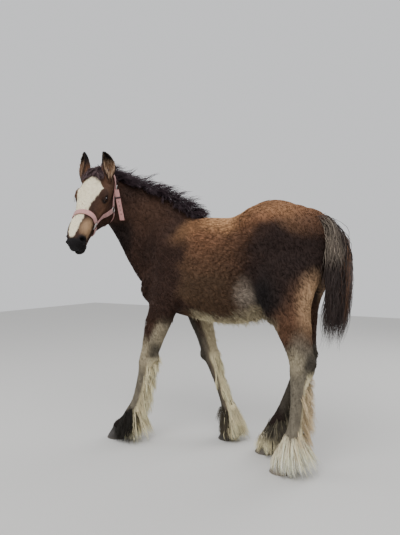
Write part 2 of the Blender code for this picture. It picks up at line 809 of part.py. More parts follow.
def falling_lock(root, out, start, finish, size):
    """A lock that leaves its root one way and bends evenly to another, its root sunk under the skin."""
    length, width = size
    root, out, start, finish = (np.array(v, float) for v in (root, out, start, finish))
    start /= np.linalg.norm(start)
    finish /= np.linalg.norm(finish)
    t = np.array((0, 0.30, 0.65, 1.0))[:, None]
    points = root + length * (start * (t - t**2 / 2) + finish * t**2 / 2)
    points[0] -= out / np.linalg.norm(out) * ROOT_DEPTH
    return lock(points, width, LOCK_THICKNESS, out)


def mane_locks(neck):
    """Locks along the crest, the lower ones of the run upright, those of the middle lying to the left."""
    rng = np.random.default_rng(11)
    skin = skin_of([neck])
    run = catmull(np.array([row[0] for row in NECK[:-1]]), 8)
    ahead = np.gradient(run, axis=0)
    made = []
    for k in range(MANE_LOCKS):
        share = (k + 0.5) / MANE_LOCKS
        at = (0.12 + 0.70 * share) * (len(run) - 1)
        row = int(at)
        forward = Vector(ahead[row]).normalized()
        left = Vector((0, 0, 1)).cross(forward).normalized()
        place = Vector(run[row] + (run[row + 1] - run[row]) * (at - row))
        place += left * rng.uniform(-0.010, 0.014)
        root = skin.ray_cast(place + Vector((0, 0, 0.08)), Vector((0, 0, -1)))[0]
        if not root:
            continue
        lie = math.sin(math.pi * share) ** 0.7 * (-0.75 if k % 4 == 2 else 1)
        start = left * (0.30 + 0.75 * lie) + Vector((0, 0, 0.75 - 0.35 * abs(lie))) - forward * 0.45
        finish = left * (0.15 + 0.55 * lie) + Vector((0, 0, 0.30 - 1.15 * abs(lie))) - forward * 0.40
        out = Vector((0, 0, 0.8)) + left * (0.7 if lie > 0 else -0.7) + forward * 0.3
        made.append(falling_lock(root, out, start, finish, MANE_SIZES[rng.integers(3)]))
    return made


def forelock_locks(head):
    """Short locks that fall from between the ears over the brow, spread to both sides."""
    rng = np.random.default_rng(12)
    skin = skin_of([head])
    turn = HEAD.to_3x3()
    made = []
    for k in range(6):
        side = (k - 2.5) / 2.5
        place = on_head(0.012 + 0.010 * (k % 2), 0.013 * side, 0.08)
        root = skin.ray_cast(place, turn @ Vector((0, 0, -1)))[0]
        start = turn @ Vector((0.75, 0.22 * side, 0.50 + 0.15 * (k % 2)))
        finish = turn @ Vector((0.95, 0.40 * side, -0.12))
        size = FORELOCK_SIZES[rng.integers(3)]
        made.append(falling_lock(root, turn @ Vector((-0.1, 0, 1)), start, finish, size))
    return made


def tail_locks(torso):
    """The dock, and locks that leave it all round and follow it down to tips at different heights."""
    rng = np.random.default_rng(13)
    spine = tail_spine()
    share = np.linspace(0, 1, len(spine))
    dock = spine[:8]
    stations = [
        (*p, 0, 0, r, 0, r, 0) if k < 2 else (*p, r, 0, 0, 0, r, 0)
        for k, (p, r) in enumerate(zip(dock, np.linspace(0.024, 0.013, len(dock))))
    ]
    tail = loft("tail", stations, sides=10, steps=1, coat="tail")
    made = []
    for k in range(TAIL_LOCKS):
        turn = 2.399 * k
        begin = 0.14 + 0.22 * (k % 5) / 4
        end = rng.uniform(0.84, 1.0)
        at = np.linspace(begin, end, 5)
        middle = np.stack([np.interp(at, share, spine[:, axis]) for axis in range(3)], 1)
        wide = np.interp(at, (0.10, 0.35, 0.80, 1.0), (0.018, 0.050, 0.048, 0.022))
        deep = np.interp(at, (0.10, 0.35, 0.80, 1.0), (0.012, 0.024, 0.022, 0.010))
        away = np.array((0, 0.75, 1, 1, 1))
        wave = 0.006 * np.sin(np.linspace(0, 5, 5) + turn)
        offset = np.zeros((5, 3))
        offset[:, 0] = deep * math.sin(turn) * away
        offset[:, 1] = (wide * math.cos(turn) + wave) * away
        facing = (max(0.25, abs(math.sin(turn))) * (1 if math.sin(turn) > 0 else -1), 0.5 * math.cos(turn), 0)
        made.append(lock(middle + offset, TAIL_WIDTHS[k % 3], 0.0062, facing))
    boolean(tail, made, "UNION")
    boolean(tail, [inflated(torso, GAP)], "DIFFERENCE")
    keep_largest(tail)


def feather_locks(leg, lower):
    """Locks down the back of the cannon, and a fringe that falls from the pastern round the hoof."""
    rng = np.random.default_rng(20 + sorted(LEGS).index(leg))
    sizes, xs, ys = LEGS[leg]
    skin = skin_of([lower])
    heights = [-row[0] for row in sizes]
    rows = [
        (z + 0.012 * side, 34 * side + lean)
        for z, lean in ((0.310, 0), (0.245, -10), (0.185, 8)) for side in (-1, 1)
    ]
    rows += [(0.118 + 0.012 * (k % 2), turn) for k, turn in enumerate((-155, -103, -52, 0, 52, 103, 155))]
    made = []
    for z, turn in rows:
        turn = math.radians(turn + rng.uniform(-6, 6))
        core = Vector((np.interp(-z, heights, xs), np.interp(-z, heights, ys), z))
        out = Vector((math.cos(turn), math.sin(turn), 0))
        root = skin.ray_cast(core + out * 0.09, -out)[0]
        if not root:
            continue
        low = z < 0.15
        start = out * (0.62 if low else 0.50) + Vector((0, 0, -0.80))
        finish = out * (0.18 if low else -0.05) + Vector((0.12, 0, -1))
        length, width = FEATHER_SIZES[rng.integers(3)]
        if low:
            length = min(length + 0.03, (root.z - FLOOR_CLEARANCE) * 1.08)
            width *= FRINGE_WIDENING
        made.append(falling_lock(root, out + Vector((0, 0, 0.3)), start, finish, (length, width)))
    return made


# The headcollar.


def sections(item, point, normal, offset):
    """Where the item's edges cross a plane, as points."""
    mesh = item.data
    places = np.array([v.co[:] for v in mesh.vertices])
    edges = np.array([e.vertices[:] for e in mesh.edges])
    heights = (places - np.array(point)) @ np.array(normal) - offset
    a, b = heights[edges[:, 0]], heights[edges[:, 1]]
    crossing = (a > 0) != (b > 0)
    a, b, edges = a[crossing], b[crossing], edges[crossing]
    share = (a / (a - b))[:, None]
    return places[edges[:, 0]] * (1 - share) + places[edges[:, 1]] * share


def hull(points):
    """The convex outline of points in a plane, anticlockwise."""
    points = sorted(map(tuple, points))

    def half(rows):
        out = []
        for p in rows:
            while len(out) > 1 and (
                (out[-1][0] - out[-2][0]) * (p[1] - out[-2][1])
                - (out[-1][1] - out[-2][1]) * (p[0] - out[-2][0])
            ) <= 0:
                out.pop()
            out.append(p)
        return out[:-1]

    return np.array(half(points) + half(points[::-1]))


class StrapPath:
    """A band drawn tight round an item in a plane. Angles run from the first direction to the second."""

    def __init__(self, item, point, normal, first, width):
        self.point = Vector(point)
        self.normal = Vector(normal).normalized()
        self.first = Vector(first)
        self.first = (self.first - self.first.dot(self.normal) * self.normal).normalized()
        self.second = self.normal.cross(self.first)
        self.width = width
        self.outlines = {}
        for share in (-1, 0, 1):
            rows = [
                sections(item, self.point, self.normal, share * width / 2 + extra)
                for extra in (-0.004, 0, 0.004)
            ]
            cloud = np.vstack(rows) - np.array(self.point)
            flat = np.c_[cloud @ np.array(self.first), cloud @ np.array(self.second)]
            self.outlines[share] = hull(flat)

    def at(self, share, angle, height):
        """The point at an angle on the outline, raised by a height."""
        outline = self.outlines[share]
        ray = np.array((math.cos(angle), math.sin(angle)))
        following = np.roll(outline, -1, axis=0)
        side_a = outline @ np.array((-ray[1], ray[0]))
        side_b = following @ np.array((-ray[1], ray[0]))
        best = 0.0
        for p, q, a, b in zip(outline, following, side_a, side_b):
            if (a > 0) != (b > 0):
                crossing = p + (q - p) * a / (a - b)
                best = max(best, crossing @ ray)
        reach = best + height
        offset = self.first * ray[0] * reach + self.second * ray[1] * reach
        return self.point + offset + self.normal * share * self.width / 2

    def band(self, name, start, end, segments, lift=0.0018):
        """A flat band from one angle to another, or closed where they are a whole turn apart."""
        closed = abs(end - start - 2 * math.pi) < 1e-6
        count = segments if closed else segments + 1
        rings = []
        for i in range(count):
            angle = start + (end - start) * i / segments
            rings.append([
                self.at(-1, angle, lift),
                self.at(1, angle, lift),
                self.at(1, angle, lift + STRAP_THICKNESS),
                self.at(-1, angle, lift + STRAP_THICKNESS),
            ])
        return band_mesh(name, rings, closed, "webbing")


def band_mesh(name, rings, closed, coat):
    bm = bmesh.new()
    loops = [[bm.verts.new(p) for p in one] for one in rings]
    count = len(loops[0])
    spans = len(loops) if closed else len(loops) - 1
    for i in range(spans):
        low, high = loops[i], loops[(i + 1) % len(loops)]
        for k in range(count):
            j = (k + 1) % count
            bm.faces.new((low[k], low[j], high[j], high[k]))
    if not closed:
        bm.faces.new(loops[0][::-1])
        bm.faces.new(loops[-1])
    bmesh.ops.triangulate(bm, faces=bm.faces)
    bmesh.ops.recalc_face_normals(bm, faces=bm.faces)
    mesh = bpy.data.meshes.new(name)
    bm.to_mesh(mesh)
    bm.free()
    return add_object(name, mesh, coat)


def round_head(s, angle, reach):
    """A point at a distance from the head's core line, at an angle in degrees from the brow to the left."""
    turn = math.radians(angle)
    return on_head(s, reach * math.sin(turn), CORE_DEPTH + reach * math.cos(turn))


def on_skin(head_skin, s, angle):
    """Where a line from the head's core line leaves the skin, and the skin's direction there."""
    start = round_head(s, angle, 0)
    spot, normal, _, _ = head_skin.ray_cast(start, round_head(s, angle, 1) - start)
    return spot, normal


def laid_band(name, head_skin, skin, points, width, lift=0.0015, steps=4):
    """A flat band laid on the skin along points round the head, each a distance from the poll and an angle.
    It is raised where the skin bulges under its edges."""
    found = [on_skin(head_skin, s, angle) for s, angle in catmull(points, steps)]
    spots = np.array([spot for spot, _ in found])
    normals = np.array([normal for _, normal in found])
    for _ in range(4):
        inner = (spots[:-2] + spots[2:]) / 4 + spots[1:-1] / 2
        spots[1:-1] = inner
        normals[1:-1] = (normals[:-2] + normals[2:]) / 4 + normals[1:-1] / 2
    ahead = np.gradient(spots, axis=0)
    ahead /= np.linalg.norm(ahead, axis=1)[:, None]
    normals -= (normals * ahead).sum(1)[:, None] * ahead
    normals /= np.linalg.norm(normals, axis=1)[:, None]
    across = np.cross(ahead, normals)
    rises = []
    for spot, way, side in zip(spots, normals, across):
        rise = -0.010
        for share in (-1, -0.5, 0, 0.5, 1):
            place = Vector(spot + side * share * width / 2)
            below = skin.ray_cast(place + Vector(way) * 0.03, -Vector(way), 0.06)[0]
            if below:
                rise = max(rise, (below - place).dot(Vector(way)))
        rises.append(rise)
    rises = np.maximum(rises, np.minimum(np.r_[rises[1:], rises[-1]], np.r_[rises[0], rises[:-1]]))
    rings = []
    for spot, way, side, rise in zip(spots, normals, across, rises):
        base = spot + way * (rise + lift)
        low = [base + side * share * width / 2 for share in (-1, 1)]
        rings.append(low + [p + way * STRAP_THICKNESS for p in low[::-1]])
    return band_mesh(name, rings, False, "webbing")


def skin_of(items):
    """One tree to drop things onto, over several nodes."""
    bm = bmesh.new()
    for item in items:
        bm.from_mesh(item.data)
    bmesh.ops.triangulate(bm, faces=bm.faces)
    tree = BVHTree.FromBMesh(bm)
    bm.free()
    return tree


class Ring:
    """A metal ring lying on the skin, round or squared, with the straps ending against its rim.
    Its sizes are the half-length along the head's direction and the half-width."""

    def __init__(self, name, head_skin, skin, place, sizes, power=1.0, along=None):
        self.reach = max(sizes)
        self.centre, self.normal = on_skin(head_skin, *place)
        along = along or HEAD.to_3x3() @ Vector((1, 0, 0))
        self.along = (along - along.dot(self.normal) * self.normal).normalized()
        across = self.normal.cross(self.along)
        turns = np.linspace(0, 2 * math.pi, RING_SIDES, endpoint=False)
        c, s = np.cos(turns), np.sin(turns)
        c, s = np.sign(c) * abs(c) ** power * sizes[0], np.sign(s) * abs(s) ** power * sizes[1]
        outs = [self.along * a + across * b for a, b in zip(c, s)]
        rise = 0.0
        for out in outs:
            spot = self.centre + out
            below = skin.ray_cast(spot + self.normal * 0.03, -self.normal, 0.06)[0]
            if below:
                rise = max(rise, (below - spot).dot(self.normal))
        self.middle = self.centre + self.normal * (rise + RING_BAR + GAP * 2)
        rings = [
            [
                self.middle + out + (out.normalized() * math.cos(a) + self.normal * math.sin(a)) * RING_BAR
                for a in np.linspace(0, 2 * math.pi, 4, endpoint=False)
            ]
            for out in outs
        ]
        self.item = band_mesh(name, rings, True, "metal")

    def room(self):
        """A drum round the ring, which the straps are cut back to."""
        bm = bmesh.new()
        spin = self.normal.to_track_quat("Z", "Y").to_matrix().to_4x4()
        reach = (self.reach + RING_BAR + GAP) * 1.06
        bmesh.ops.create_cone(
            bm, cap_ends=True, segments=24, radius1=reach, radius2=reach, depth=0.10,
            matrix=Matrix.Translation(self.centre) @ spin,
        )
        mesh = bpy.data.meshes.new("room")
        bm.to_mesh(mesh)
        bm.free()
        return add_object("room", mesh)


def build():
    clear_scene()
    shells = torso_shells() + [loft("neck", neck_stations(), sides=28, power=0.92)] + head_shells()
    for leg in LEGS:
        shells += leg_shells(leg)
    fine = flesh(shells)
    whole = thinned(fine, "whole", BODY_TRIANGLES)
    head = thinned(fine, "head", HEAD_TRIANGLES, head_block(0.015))
    bpy.data.objects.remove(fine)
    boolean(head, [head_block(0)], "INTERSECT")
    neck = kept_side(duplicate(whole, "neck"), *SHOULDER)
    torso = kept_side(duplicate(whole, "torso"), SHOULDER[0], -SHOULDER[1])
    boolean(torso, [leg_block(leg, GAP) for leg in LEGS], "DIFFERENCE")
    keep_largest(torso)
    for leg in LEGS:
        limb = boolean(duplicate(whole, "limb"), [leg_block(leg, 0)], "INTERSECT")
        keep_largest(limb)
        knee = Vector((0, 0, KNEE_CUT[leg.split("_")[0]]))
        upper = kept_side(duplicate(limb, "leg_%s_upper" % leg), knee, (0, 0, 1))
        lower = kept_side(limb, knee, (0, 0, -1))
        lower.name = "leg_%s_lower" % leg
        horn = hoof(leg)
        boolean(lower, feather_locks(leg, lower), "UNION")
        lower = kept_side(lower, (0, 0, FLOOR_CLEARANCE), (0, 0, 1))
        boolean(lower, [half_space_under(leg)], "DIFFERENCE")
        boolean(lower, [inflated(horn, GAP * 1.3)], "DIFFERENCE")
        keep_largest(lower)
        coat_of(upper, "bay")
        coat_of(lower, "feather")
    bpy.data.objects.remove(whole)

    boolean(neck, mane_locks(neck), "UNION")
    boolean(neck, [head_block(GAP)], "DIFFERENCE")
    neck = kept_side(neck, *SHOULDER)
    keep_largest(neck)
    tail_locks(torso)

    # the head's own forms
    raised = forelock_locks(head)
    for side in (-1, 1):
        raised += [lid(side, True), lid(side, False), nostril_rim(side)]
    boolean(head, raised, "UNION")
    pits = [mouth_cutter()]
    for side in (-1, 1):
        pits += [nostril_cutter(side)]
        pits += [ball("socket", eye_centre(side), EYE_RADIUS + GAP * 1.6, None)]
    boolean(head, pits, "DIFFERENCE")
    keep_largest(head)
    proud = inflated(head, GAP * 1.6)
    for side, hand in ((1, "left"), (-1, "right")):
        ear = ear_mesh("ear_" + hand, side)
        boolean(ear, [duplicate(proud, "proud")], "DIFFERENCE")
        keep_largest(ear)
        coat_of(ear, "dark_bay")
        ball("eye_" + hand, eye_centre(side), EYE_RADIUS, "eye")
    bpy.data.objects.remove(proud)
    coat_of(head, "face")
    coat_of(neck, "dark_bay")
    coat_of(torso, "bay")
    halter(head, neck)
    centre_on_floor()


def centre_on_floor():
    """Moves everything so that the origin is under the middle of the whole box."""
    meshes = [item.data for item in bpy.context.scene.objects]
    corners = []
    for mesh in meshes:
        places = np.empty(len(mesh.vertices) * 3, np.float32)
        mesh.vertices.foreach_get("co", places)
        corners += [places.reshape(-1, 3).min(0), places.reshape(-1, 3).max(0)]
    low, high = np.min(corners, axis=0), np.max(corners, axis=0)
    shift = Vector((-(low[0] + high[0]) / 2, -(low[1] + high[1]) / 2, 0))
    for mesh in meshes:
        mesh.transform(Matrix.Translation(shift))


def coat_of(item, name):
    item.data.materials.clear()
    item.data.materials.append(material(name))
    item.data.shade_smooth()


def half_space_under(leg):
    """What lies under the coronet, inside the hoof's own width: the horn's place."""
    x, y = HOOVES[leg]
    point, up = coronet(leg)
    spin = up.to_track_quat("Z", "Y").to_matrix().to_4x4()
    place = Matrix.Translation(point + up * GAP / 2) @ spin
    return box_cutter("horn_place", (-0.036, -0.034, -0.08), (0.036, 0.034, 0), place)


def strap_end(head_skin, items):
    """The buckle on the crown strap and the strap's free end, which hangs from it against the neck."""
    skin = skin_of(items)
    buckle = Ring("halter_buckle", head_skin, skin, BUCKLE, (0.011, 0.015), 0.6, Vector((0, 0, -1)))
    out = Vector((0.509, -0.861, 0))
    across = Vector((0.861, 0.509, 0))
    start = buckle.middle + buckle.along * 0.011
    course, heights = [], []
    for share in np.linspace(0, 1, 37):
        place = start + Vector((0, 0, -STRAP_END_LENGTH * share))
        place += across * (0.005 + STRAP_END_DRIFT * share)
        sides = [place + across * aside * STRAP_WIDTH / 2 for aside in (-1, -0.6, -0.2, 0.2, 0.6, 1)]
        found = [skin.ray_cast(p + out * 0.2, -out, 0.4)[0] for p in sides]
        course.append((sides[0], sides[-1]))
        heights.append(max([(f - p).dot(out) for f, p in zip(found, sides) if f], default=-1.0))
    rings = []
    stand = -1.0
    for k in range(0, 37, 4):
        stand = max([stand - 0.003] + [height + 0.0020 for height in heights[max(k - 4, 0):k + 5]])
        low = [p + out * stand for p in course[k]]
        rings.append(low + [p + out * STRAP_THICKNESS for p in low[::-1]])
    end = band_mesh("halter_strap_end", rings, False, "webbing")
    boolean(end, [inflated(buckle.item, GAP * 1.2)], "DIFFERENCE")
    keep_largest(end)


def halter(head, neck):
    bare = flesh(head_shells(), "bare")
    skins = skin_of([bare]), skin_of([head, neck])
    bpy.data.objects.remove(bare)
    nose, jaw = {}, {}
    for side, hand in ((1, "left"), (-1, "right")):
        at_nose, at_jaw = ((s, side * angle) for s, angle in (NOSE_RING, JAW_RING))
        nose[side] = Ring("halter_nose_ring_" + hand, *skins, at_nose, (0.0145, 0.0145))
        jaw[side] = Ring("halter_jaw_ring_" + hand, *skins, at_jaw, (0.0125, 0.0125))
        for name, path, width, rings in (
            ("halter_cheek_strap_", (NOSE_RING, JAW_RING), STRAP_WIDTH, (nose[side], jaw[side])),
            ("halter_throat_strap_", THROAT, THROAT_WIDTH, (jaw[side],)),
        ):
            run = [(s, side * angle) for s, angle in path]
            strap = laid_band(name + hand, *skins, run, width, steps=8 if len(path) == 2 else 4)
            boolean(strap, [ring.room() for ring in rings], "DIFFERENCE")
            keep_largest(strap)
    run = list(CROWN[:-1]) + [(s, -angle) for s, angle in CROWN[::-1]]
    crown = laid_band("halter_crown_strap", *skins, run, STRAP_WIDTH, lift=0.0022, steps=2)
    boolean(crown, [jaw[1].room(), jaw[-1].room()], "DIFFERENCE")
    keep_largest(crown)
    strap_end(skins[0], [head, neck, crown])

    noseband = StrapPath(
        head, on_head(0.252, 0, -0.060), HEAD.to_3x3() @ Vector((0.985, 0, 0.12)),
        HEAD.to_3x3() @ Vector((0, 0, 1)), STRAP_WIDTH,
    )
    for rank, name in enumerate(("halter_noseband", "halter_chin_strap")):
        band = noseband.band(name, 0, 2 * math.pi, 28)
        boolean(band, [nose[1].room(), nose[-1].room()], "DIFFERENCE")
        keep_largest(band, rank)


if __name__ == "__main__":
    build()
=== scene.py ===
# The looks of the cob foal: one smooth skin under a coat of small tufts, long hair as locks, hooves, eyes and halter.
# Metres, +Z up. The foal faces -X and its left side is -Y. Places are written in the foal's own frame and moved
# by `shift` to where the solids stand.
import math

import bmesh
import bpy
import numpy as np
from mathutils import Euler, Matrix, Vector
from mathutils.bvhtree import BVHTree
from mathutils.kdtree import KDTree


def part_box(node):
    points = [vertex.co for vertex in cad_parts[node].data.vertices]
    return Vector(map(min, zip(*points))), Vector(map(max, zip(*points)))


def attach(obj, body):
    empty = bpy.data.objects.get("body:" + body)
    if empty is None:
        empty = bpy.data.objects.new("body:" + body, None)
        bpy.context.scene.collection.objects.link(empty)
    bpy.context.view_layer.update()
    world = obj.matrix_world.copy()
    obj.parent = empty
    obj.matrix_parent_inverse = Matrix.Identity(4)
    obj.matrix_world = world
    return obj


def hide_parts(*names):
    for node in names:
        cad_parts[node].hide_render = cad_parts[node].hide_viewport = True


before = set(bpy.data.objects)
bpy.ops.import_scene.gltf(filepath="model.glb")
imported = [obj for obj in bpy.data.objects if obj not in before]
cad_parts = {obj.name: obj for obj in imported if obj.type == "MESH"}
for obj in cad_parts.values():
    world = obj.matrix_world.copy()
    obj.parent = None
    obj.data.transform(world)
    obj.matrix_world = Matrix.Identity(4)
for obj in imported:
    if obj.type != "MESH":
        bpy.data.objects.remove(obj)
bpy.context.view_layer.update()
soleCorner = np.array((-0.5265, -0.1642, 0.0))  # the left fore hoof's lowest corner in the foal's own frame
shift = np.array(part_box("hoof_fore_left")[0]) - soleCorner
shift[2] = 0.0
rng = np.random.default_rng(7)
print("frame loaded, shift", shift.round(4))


# Numbers and meshes.


def soften(x, low, high):
    # t * t * (3 - 2 * t), which goes from 0 at low to 1 at high, also where low is the larger number
    t = np.clip((x - low) / (high - low), 0, 1)
    return t * t * (3 - 2 * t)


def unit(v):
    return v / np.maximum(np.linalg.norm(v, axis=-1, keepdims=True), 1e-9)


def mixed(first, second, share):
    # first * (1 - share) + second * share
    return first * (1 - share)[:, None] + second * share[:, None]


def around(count):
    return np.linspace(0, 2 * math.pi, count, endpoint=False)


def rounded(turn, power=1.0):
    # cos and sin, each raised to a power with its sign kept
    return [np.sign(f(turn)) * abs(f(turn)) ** power for f in (np.cos, np.sin)]


def waves(p, size, seed=0):
    # a soft noise, mostly from -1 to 1: the sum of six sines over 3.2, along seeded ways and of wavelength about size
    turn = np.random.default_rng(seed)
    total = 0
    for _ in range(6):
        way = turn.normal(size=3)
        way *= 6.28 / size / np.linalg.norm(way) * turn.uniform(0.6, 1.5)
        total = total + np.sin(p @ way + turn.uniform(0, 6.28))
    return total / 3.2


def catmull(rows, steps):
    # a smooth run through rows of numbers, by cubic Hermite spans with central slopes
    rows = np.asarray(rows, float)
    before = np.vstack([2 * rows[0] - rows[1], rows[:-1]])
    after = np.vstack([rows[1:], 2 * rows[-1] - rows[-2]])
    slope = (after - before) / 2
    t = np.linspace(0, 1, steps, endpoint=False)[:, None, None]
    a, b, m, n = rows[:-1], rows[1:], slope[:-1], slope[1:]
    run = (2 * t**3 - 3 * t**2 + 1) * a + (t**3 - 2 * t**2 + t) * m + (3 * t**2 - 2 * t**3) * b + (t**3 - t**2) * n
    return np.vstack([run.transpose(1, 0, 2).reshape(-1, rows.shape[1]), rows[-1]])


def sampled(rows, at):
    # rows of numbers, read between their stations
    return np.stack([np.interp(at, np.arange(len(rows)), column) for column in rows.T], -1)


def camel(node):
    # the name of the piece that stands for a node: its words joined, each after the first with a capital
    first, *rest = node.split("_")
    return first + "".join(word.title() for word in rest)


def placed(name, data):
    made = bpy.data.objects.new(name, data)
    bpy.context.scene.collection.objects.link(made)
    return made


def edited(target, work, *sources):
    # the sources as one bmesh, changed by work and written to the target; gives what work gives
    bm = bmesh.new()
    for source in sources:
        bm.from_mesh(source)
    result = work(bm)
    if target:
        bm.to_mesh(target)
    bm.free()
    return result


def makeMesh(name, points, faceSets, colours=None, uv=None):
    # one object from whole arrays: points, sets of faces of one size each, colours and UV by point
    mesh = bpy.data.meshes.new(name)
    sizes = np.concatenate([np.full(len(f), f.shape[1], np.int32) for f in faceSets])
    loops = np.concatenate([f.ravel() for f in faceSets]).astype(np.int32)
    mesh.vertices.add(len(points))
    mesh.loops.add(len(loops))
    mesh.polygons.add(len(sizes))
    mesh.vertices.foreach_set("co", points.astype(np.float32).ravel())
    mesh.loops.foreach_set("vertex_index", loops)
    mesh.polygons.foreach_set("loop_start", np.r_[0, np.cumsum(sizes)[:-1]].astype(np.int32))
    mesh.update(calc_edges=True)
    mesh.shade_smooth()
    if colours is not None:
        paintPoints(mesh, colours)
        mesh.uv_layers.new(name="OFBake").data.foreach_set("uv", uv[loops].astype(np.float32).ravel())
    return placed(name, mesh)


def paintPoints(mesh, colours):
    layer = mesh.color_attributes.new("coat", "FLOAT_COLOR", "POINT")
    layer.data.foreach_set("color", np.c_[colours, np.ones(len(colours))].astype(np.float32).ravel())


def pointsOf(mesh, layer="vertices", key="co"):
    values = np.empty(len(mesh.vertices) * 3, np.float32)
    getattr(mesh, layer).foreach_get(key, values)
    return values.reshape(-1, 3).astype(float)


def normalsOf(mesh):
    return pointsOf(mesh, "vertex_normals", "vector")


def movePoints(mesh, spots):
    mesh.vertices.foreach_set("co", spots.astype(np.float32).ravel())
    mesh.update()


def bands(rows, columns, closed=False):
    # the quads of a grid whose columns, and rows if closed, close on themselves
    i, j = np.meshgrid(np.arange(rows if closed else rows - 1), np.arange(columns), indexing="ij")
    i, below, j, after = i * columns, (i + 1) % rows * columns, j, (j + 1) % columns
    return np.stack([i + j, i + after, below + after, below + j], -1).reshape(-1, 4)


def ringSurface(name, rings, closed=False):
    # a grid of rings (rows, columns, 3) as a closed surface, with a fan from each end's middle unless it is closed
    rows, columns = rings.shape[:2]
    spots, sets = rings.reshape(-1, 3), [bands(rows, columns, closed)]
    if not closed:
        spots = np.vstack([spots, rings[0].mean(0), rings[-1].mean(0)])
        k, last = np.arange(columns), (rows - 1) * columns
        low = np.stack([(k + 1) % columns, k, 0 * k + rows * columns], -1)
        high = np.stack([last + k, last + (k + 1) % columns, 0 * k + rows * columns + 1], -1)
        sets.append(np.vstack([low, high]))
    made = makeMesh(name, spots, sets)
    edited(made.data, lambda bm: bmesh.ops.recalc_face_normals(bm, faces=bm.faces), made.data)
    return made


def tube(name, line, side, up, size, sides, closed=False):
    # rings along a line: line + size * (side * cos + up * sin)
    ring = around(sides)[:, None]
    bars = np.cos(ring) * side[..., None, :] + np.sin(ring) * up[..., None, :]
    return ringSurface(name, line[:, None] + bars * np.reshape(size, (-1, 1, 1)), closed)


def loft(stations, sides=40, steps=6, power=1.0):
    # centre + height * sin^power + width * cos^power, carried through stations of nine numbers
    c, s = rounded(around(sides), power)
    run = catmull(stations, steps)[:, None]
    return ringSurface("shell", run[..., :3] + s[:, None] * run[..., 3:6] + c[:, None] * run[..., 6:9])


def egg(centre, radii, turn=(0, 0, 0), place=Matrix.Identity(4)):
    # an ellipsoid, turned by degrees about X, Y and Z, in a frame of its own if one is given
    spin = Matrix.LocRotScale(Vector(centre), Euler([math.radians(a) for a in turn]).to_quaternion(), Vector(radii))
    mesh = bpy.data.meshes.new("shell")
    edited(mesh, lambda bm: bmesh.ops.create_icosphere(bm, subdivisions=4, radius=1, matrix=place @ spin))
    return placed("shell", mesh)


def applied(item):
    bpy.context.view_layer.update()
    mesh = bpy.data.meshes.new_from_object(item.evaluated_get(bpy.context.evaluated_depsgraph_get()))
    item.modifiers.clear()
    item.data = mesh


def grownSkin(shells, voxel, trunkRounds, rounds):
    # shells grown together by a voxel remesh, then smoothed, most on the trunk
    item = placed("skin", bpy.data.meshes.new("skin"))
    edited(item.data, lambda bm: None, *[shell.data for shell in shells])
    for shell in shells:
        bpy.data.objects.remove(shell)
    remesh = item.modifiers.new("grow", "REMESH")
    remesh.mode, remesh.voxel_size = "VOXEL", voxel
    applied(item)
    spots = pointsOf(item.data)
    toHead = np.linalg.norm(spots - np.array(onHead(0.2, 0, -0.06)), axis=1)
    onTrunk = np.clip((spots[:, 2] - 0.52) / 0.12, 0, 1) * np.clip((toHead - 0.24) / 0.06, 0, 1)
    group = item.vertex_groups.new(name="trunk")
    steps = np.round(onTrunk * 10).astype(int)
    for step in range(1, 11):
        group.add(np.flatnonzero(steps == step).tolist(), step / 10, "REPLACE")
    for name, count in (("trunk", trunkRounds), ("", rounds)):
        smooth = item.modifiers.new("smooth", "SMOOTH")
        smooth.factor, smooth.iterations, smooth.vertex_group = 0.5, count, name
    applied(item)
    item.vertex_groups.clear()
    return item


def dropFaces(item, mask):
    # removes the faces whose points all lie in the mask
    def work(bm):
        gone = [face for face in bm.faces if all(mask[v.index] for v in face.verts)]
        bmesh.ops.delete(bm, geom=gone, context="FACES")

    edited(item.data, work, item.data)


# Materials.


class Val:
    # wraps a socket, so that sums, products and differences of values add their Math nodes
    def __init__(self, kit, socket):
        self.kit, self.socket = kit, socket

    def __add__(self, other, operation="ADD"):
        return self.kit.node("ShaderNodeMath", {"operation": operation}, {0: self, 1: other})

    def __mul__(self, other):
        return self.__add__(other, "MULTIPLY")

    def __sub__(self, other):
        return self.__add__(other, "SUBTRACT")


class Finish:
    # a new material with its Principled shader; node() makes any other node and returns one of its outputs
    def __init__(self, name, roughness=0.6, **fixed):
        self.material = bpy.data.materials.new(name)
        self.material.use_nodes = True
        self.tree = self.material.node_tree
        self.put("Roughness", roughness)
        for key, value in fixed.items():
            self.put(key.replace("_", " "), value)

    def node(self, kind, settings, inputs, output=0):
        made = self.tree.nodes.new(kind)
        for key, value in settings.items():
            setattr(made, key, value)
        for key, value in inputs.items():
            self.join(made.inputs[key], value)
        return Val(self, made.outputs[output])

    def join(self, socket, value):
        if isinstance(value, Val):
            self.tree.links.new(value.socket, socket)
        else:
            socket.default_value = (*value, 1) if socket.type == "RGBA" else value

    def put(self, name, value):
        self.join(self.tree.nodes["Principled BSDF"].inputs[name], value)

    def painted(self):
        return self.node("ShaderNodeAttribute", {"attribute_name": "coat"}, {})

    def place(self, scale=(1, 1, 1)):
        coordinate = self.node("ShaderNodeTexCoord", {}, {}, "Object")
        return self.node("ShaderNodeMapping", {}, {"Vector": coordinate, "Scale": scale})

    def noise(self, scale, detail=3.0, stretch=(1, 1, 1)):
        return self.node("ShaderNodeTexNoise", {}, {"Vector": self.place(stretch), "Scale": scale, "Detail": detail,
                                                   "Roughness": 0.6})

    def blend(self, share, first, second, mode="MIX"):
        return self.node("ShaderNodeMix", {"data_type": "RGBA", "blend_type": mode}, {0: share, 6: first, 7: second}, 2)

    def bump(self, height, strength, distance):
        inputs = {"Height": height, "Strength": strength, "Distance": distance}
        self.put("Normal", self.node("ShaderNodeBump", {}, inputs))

    def on(self, item, slot):
        item.data.materials.clear()
        item.data.materials.append(self.material)
        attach(item, "root")


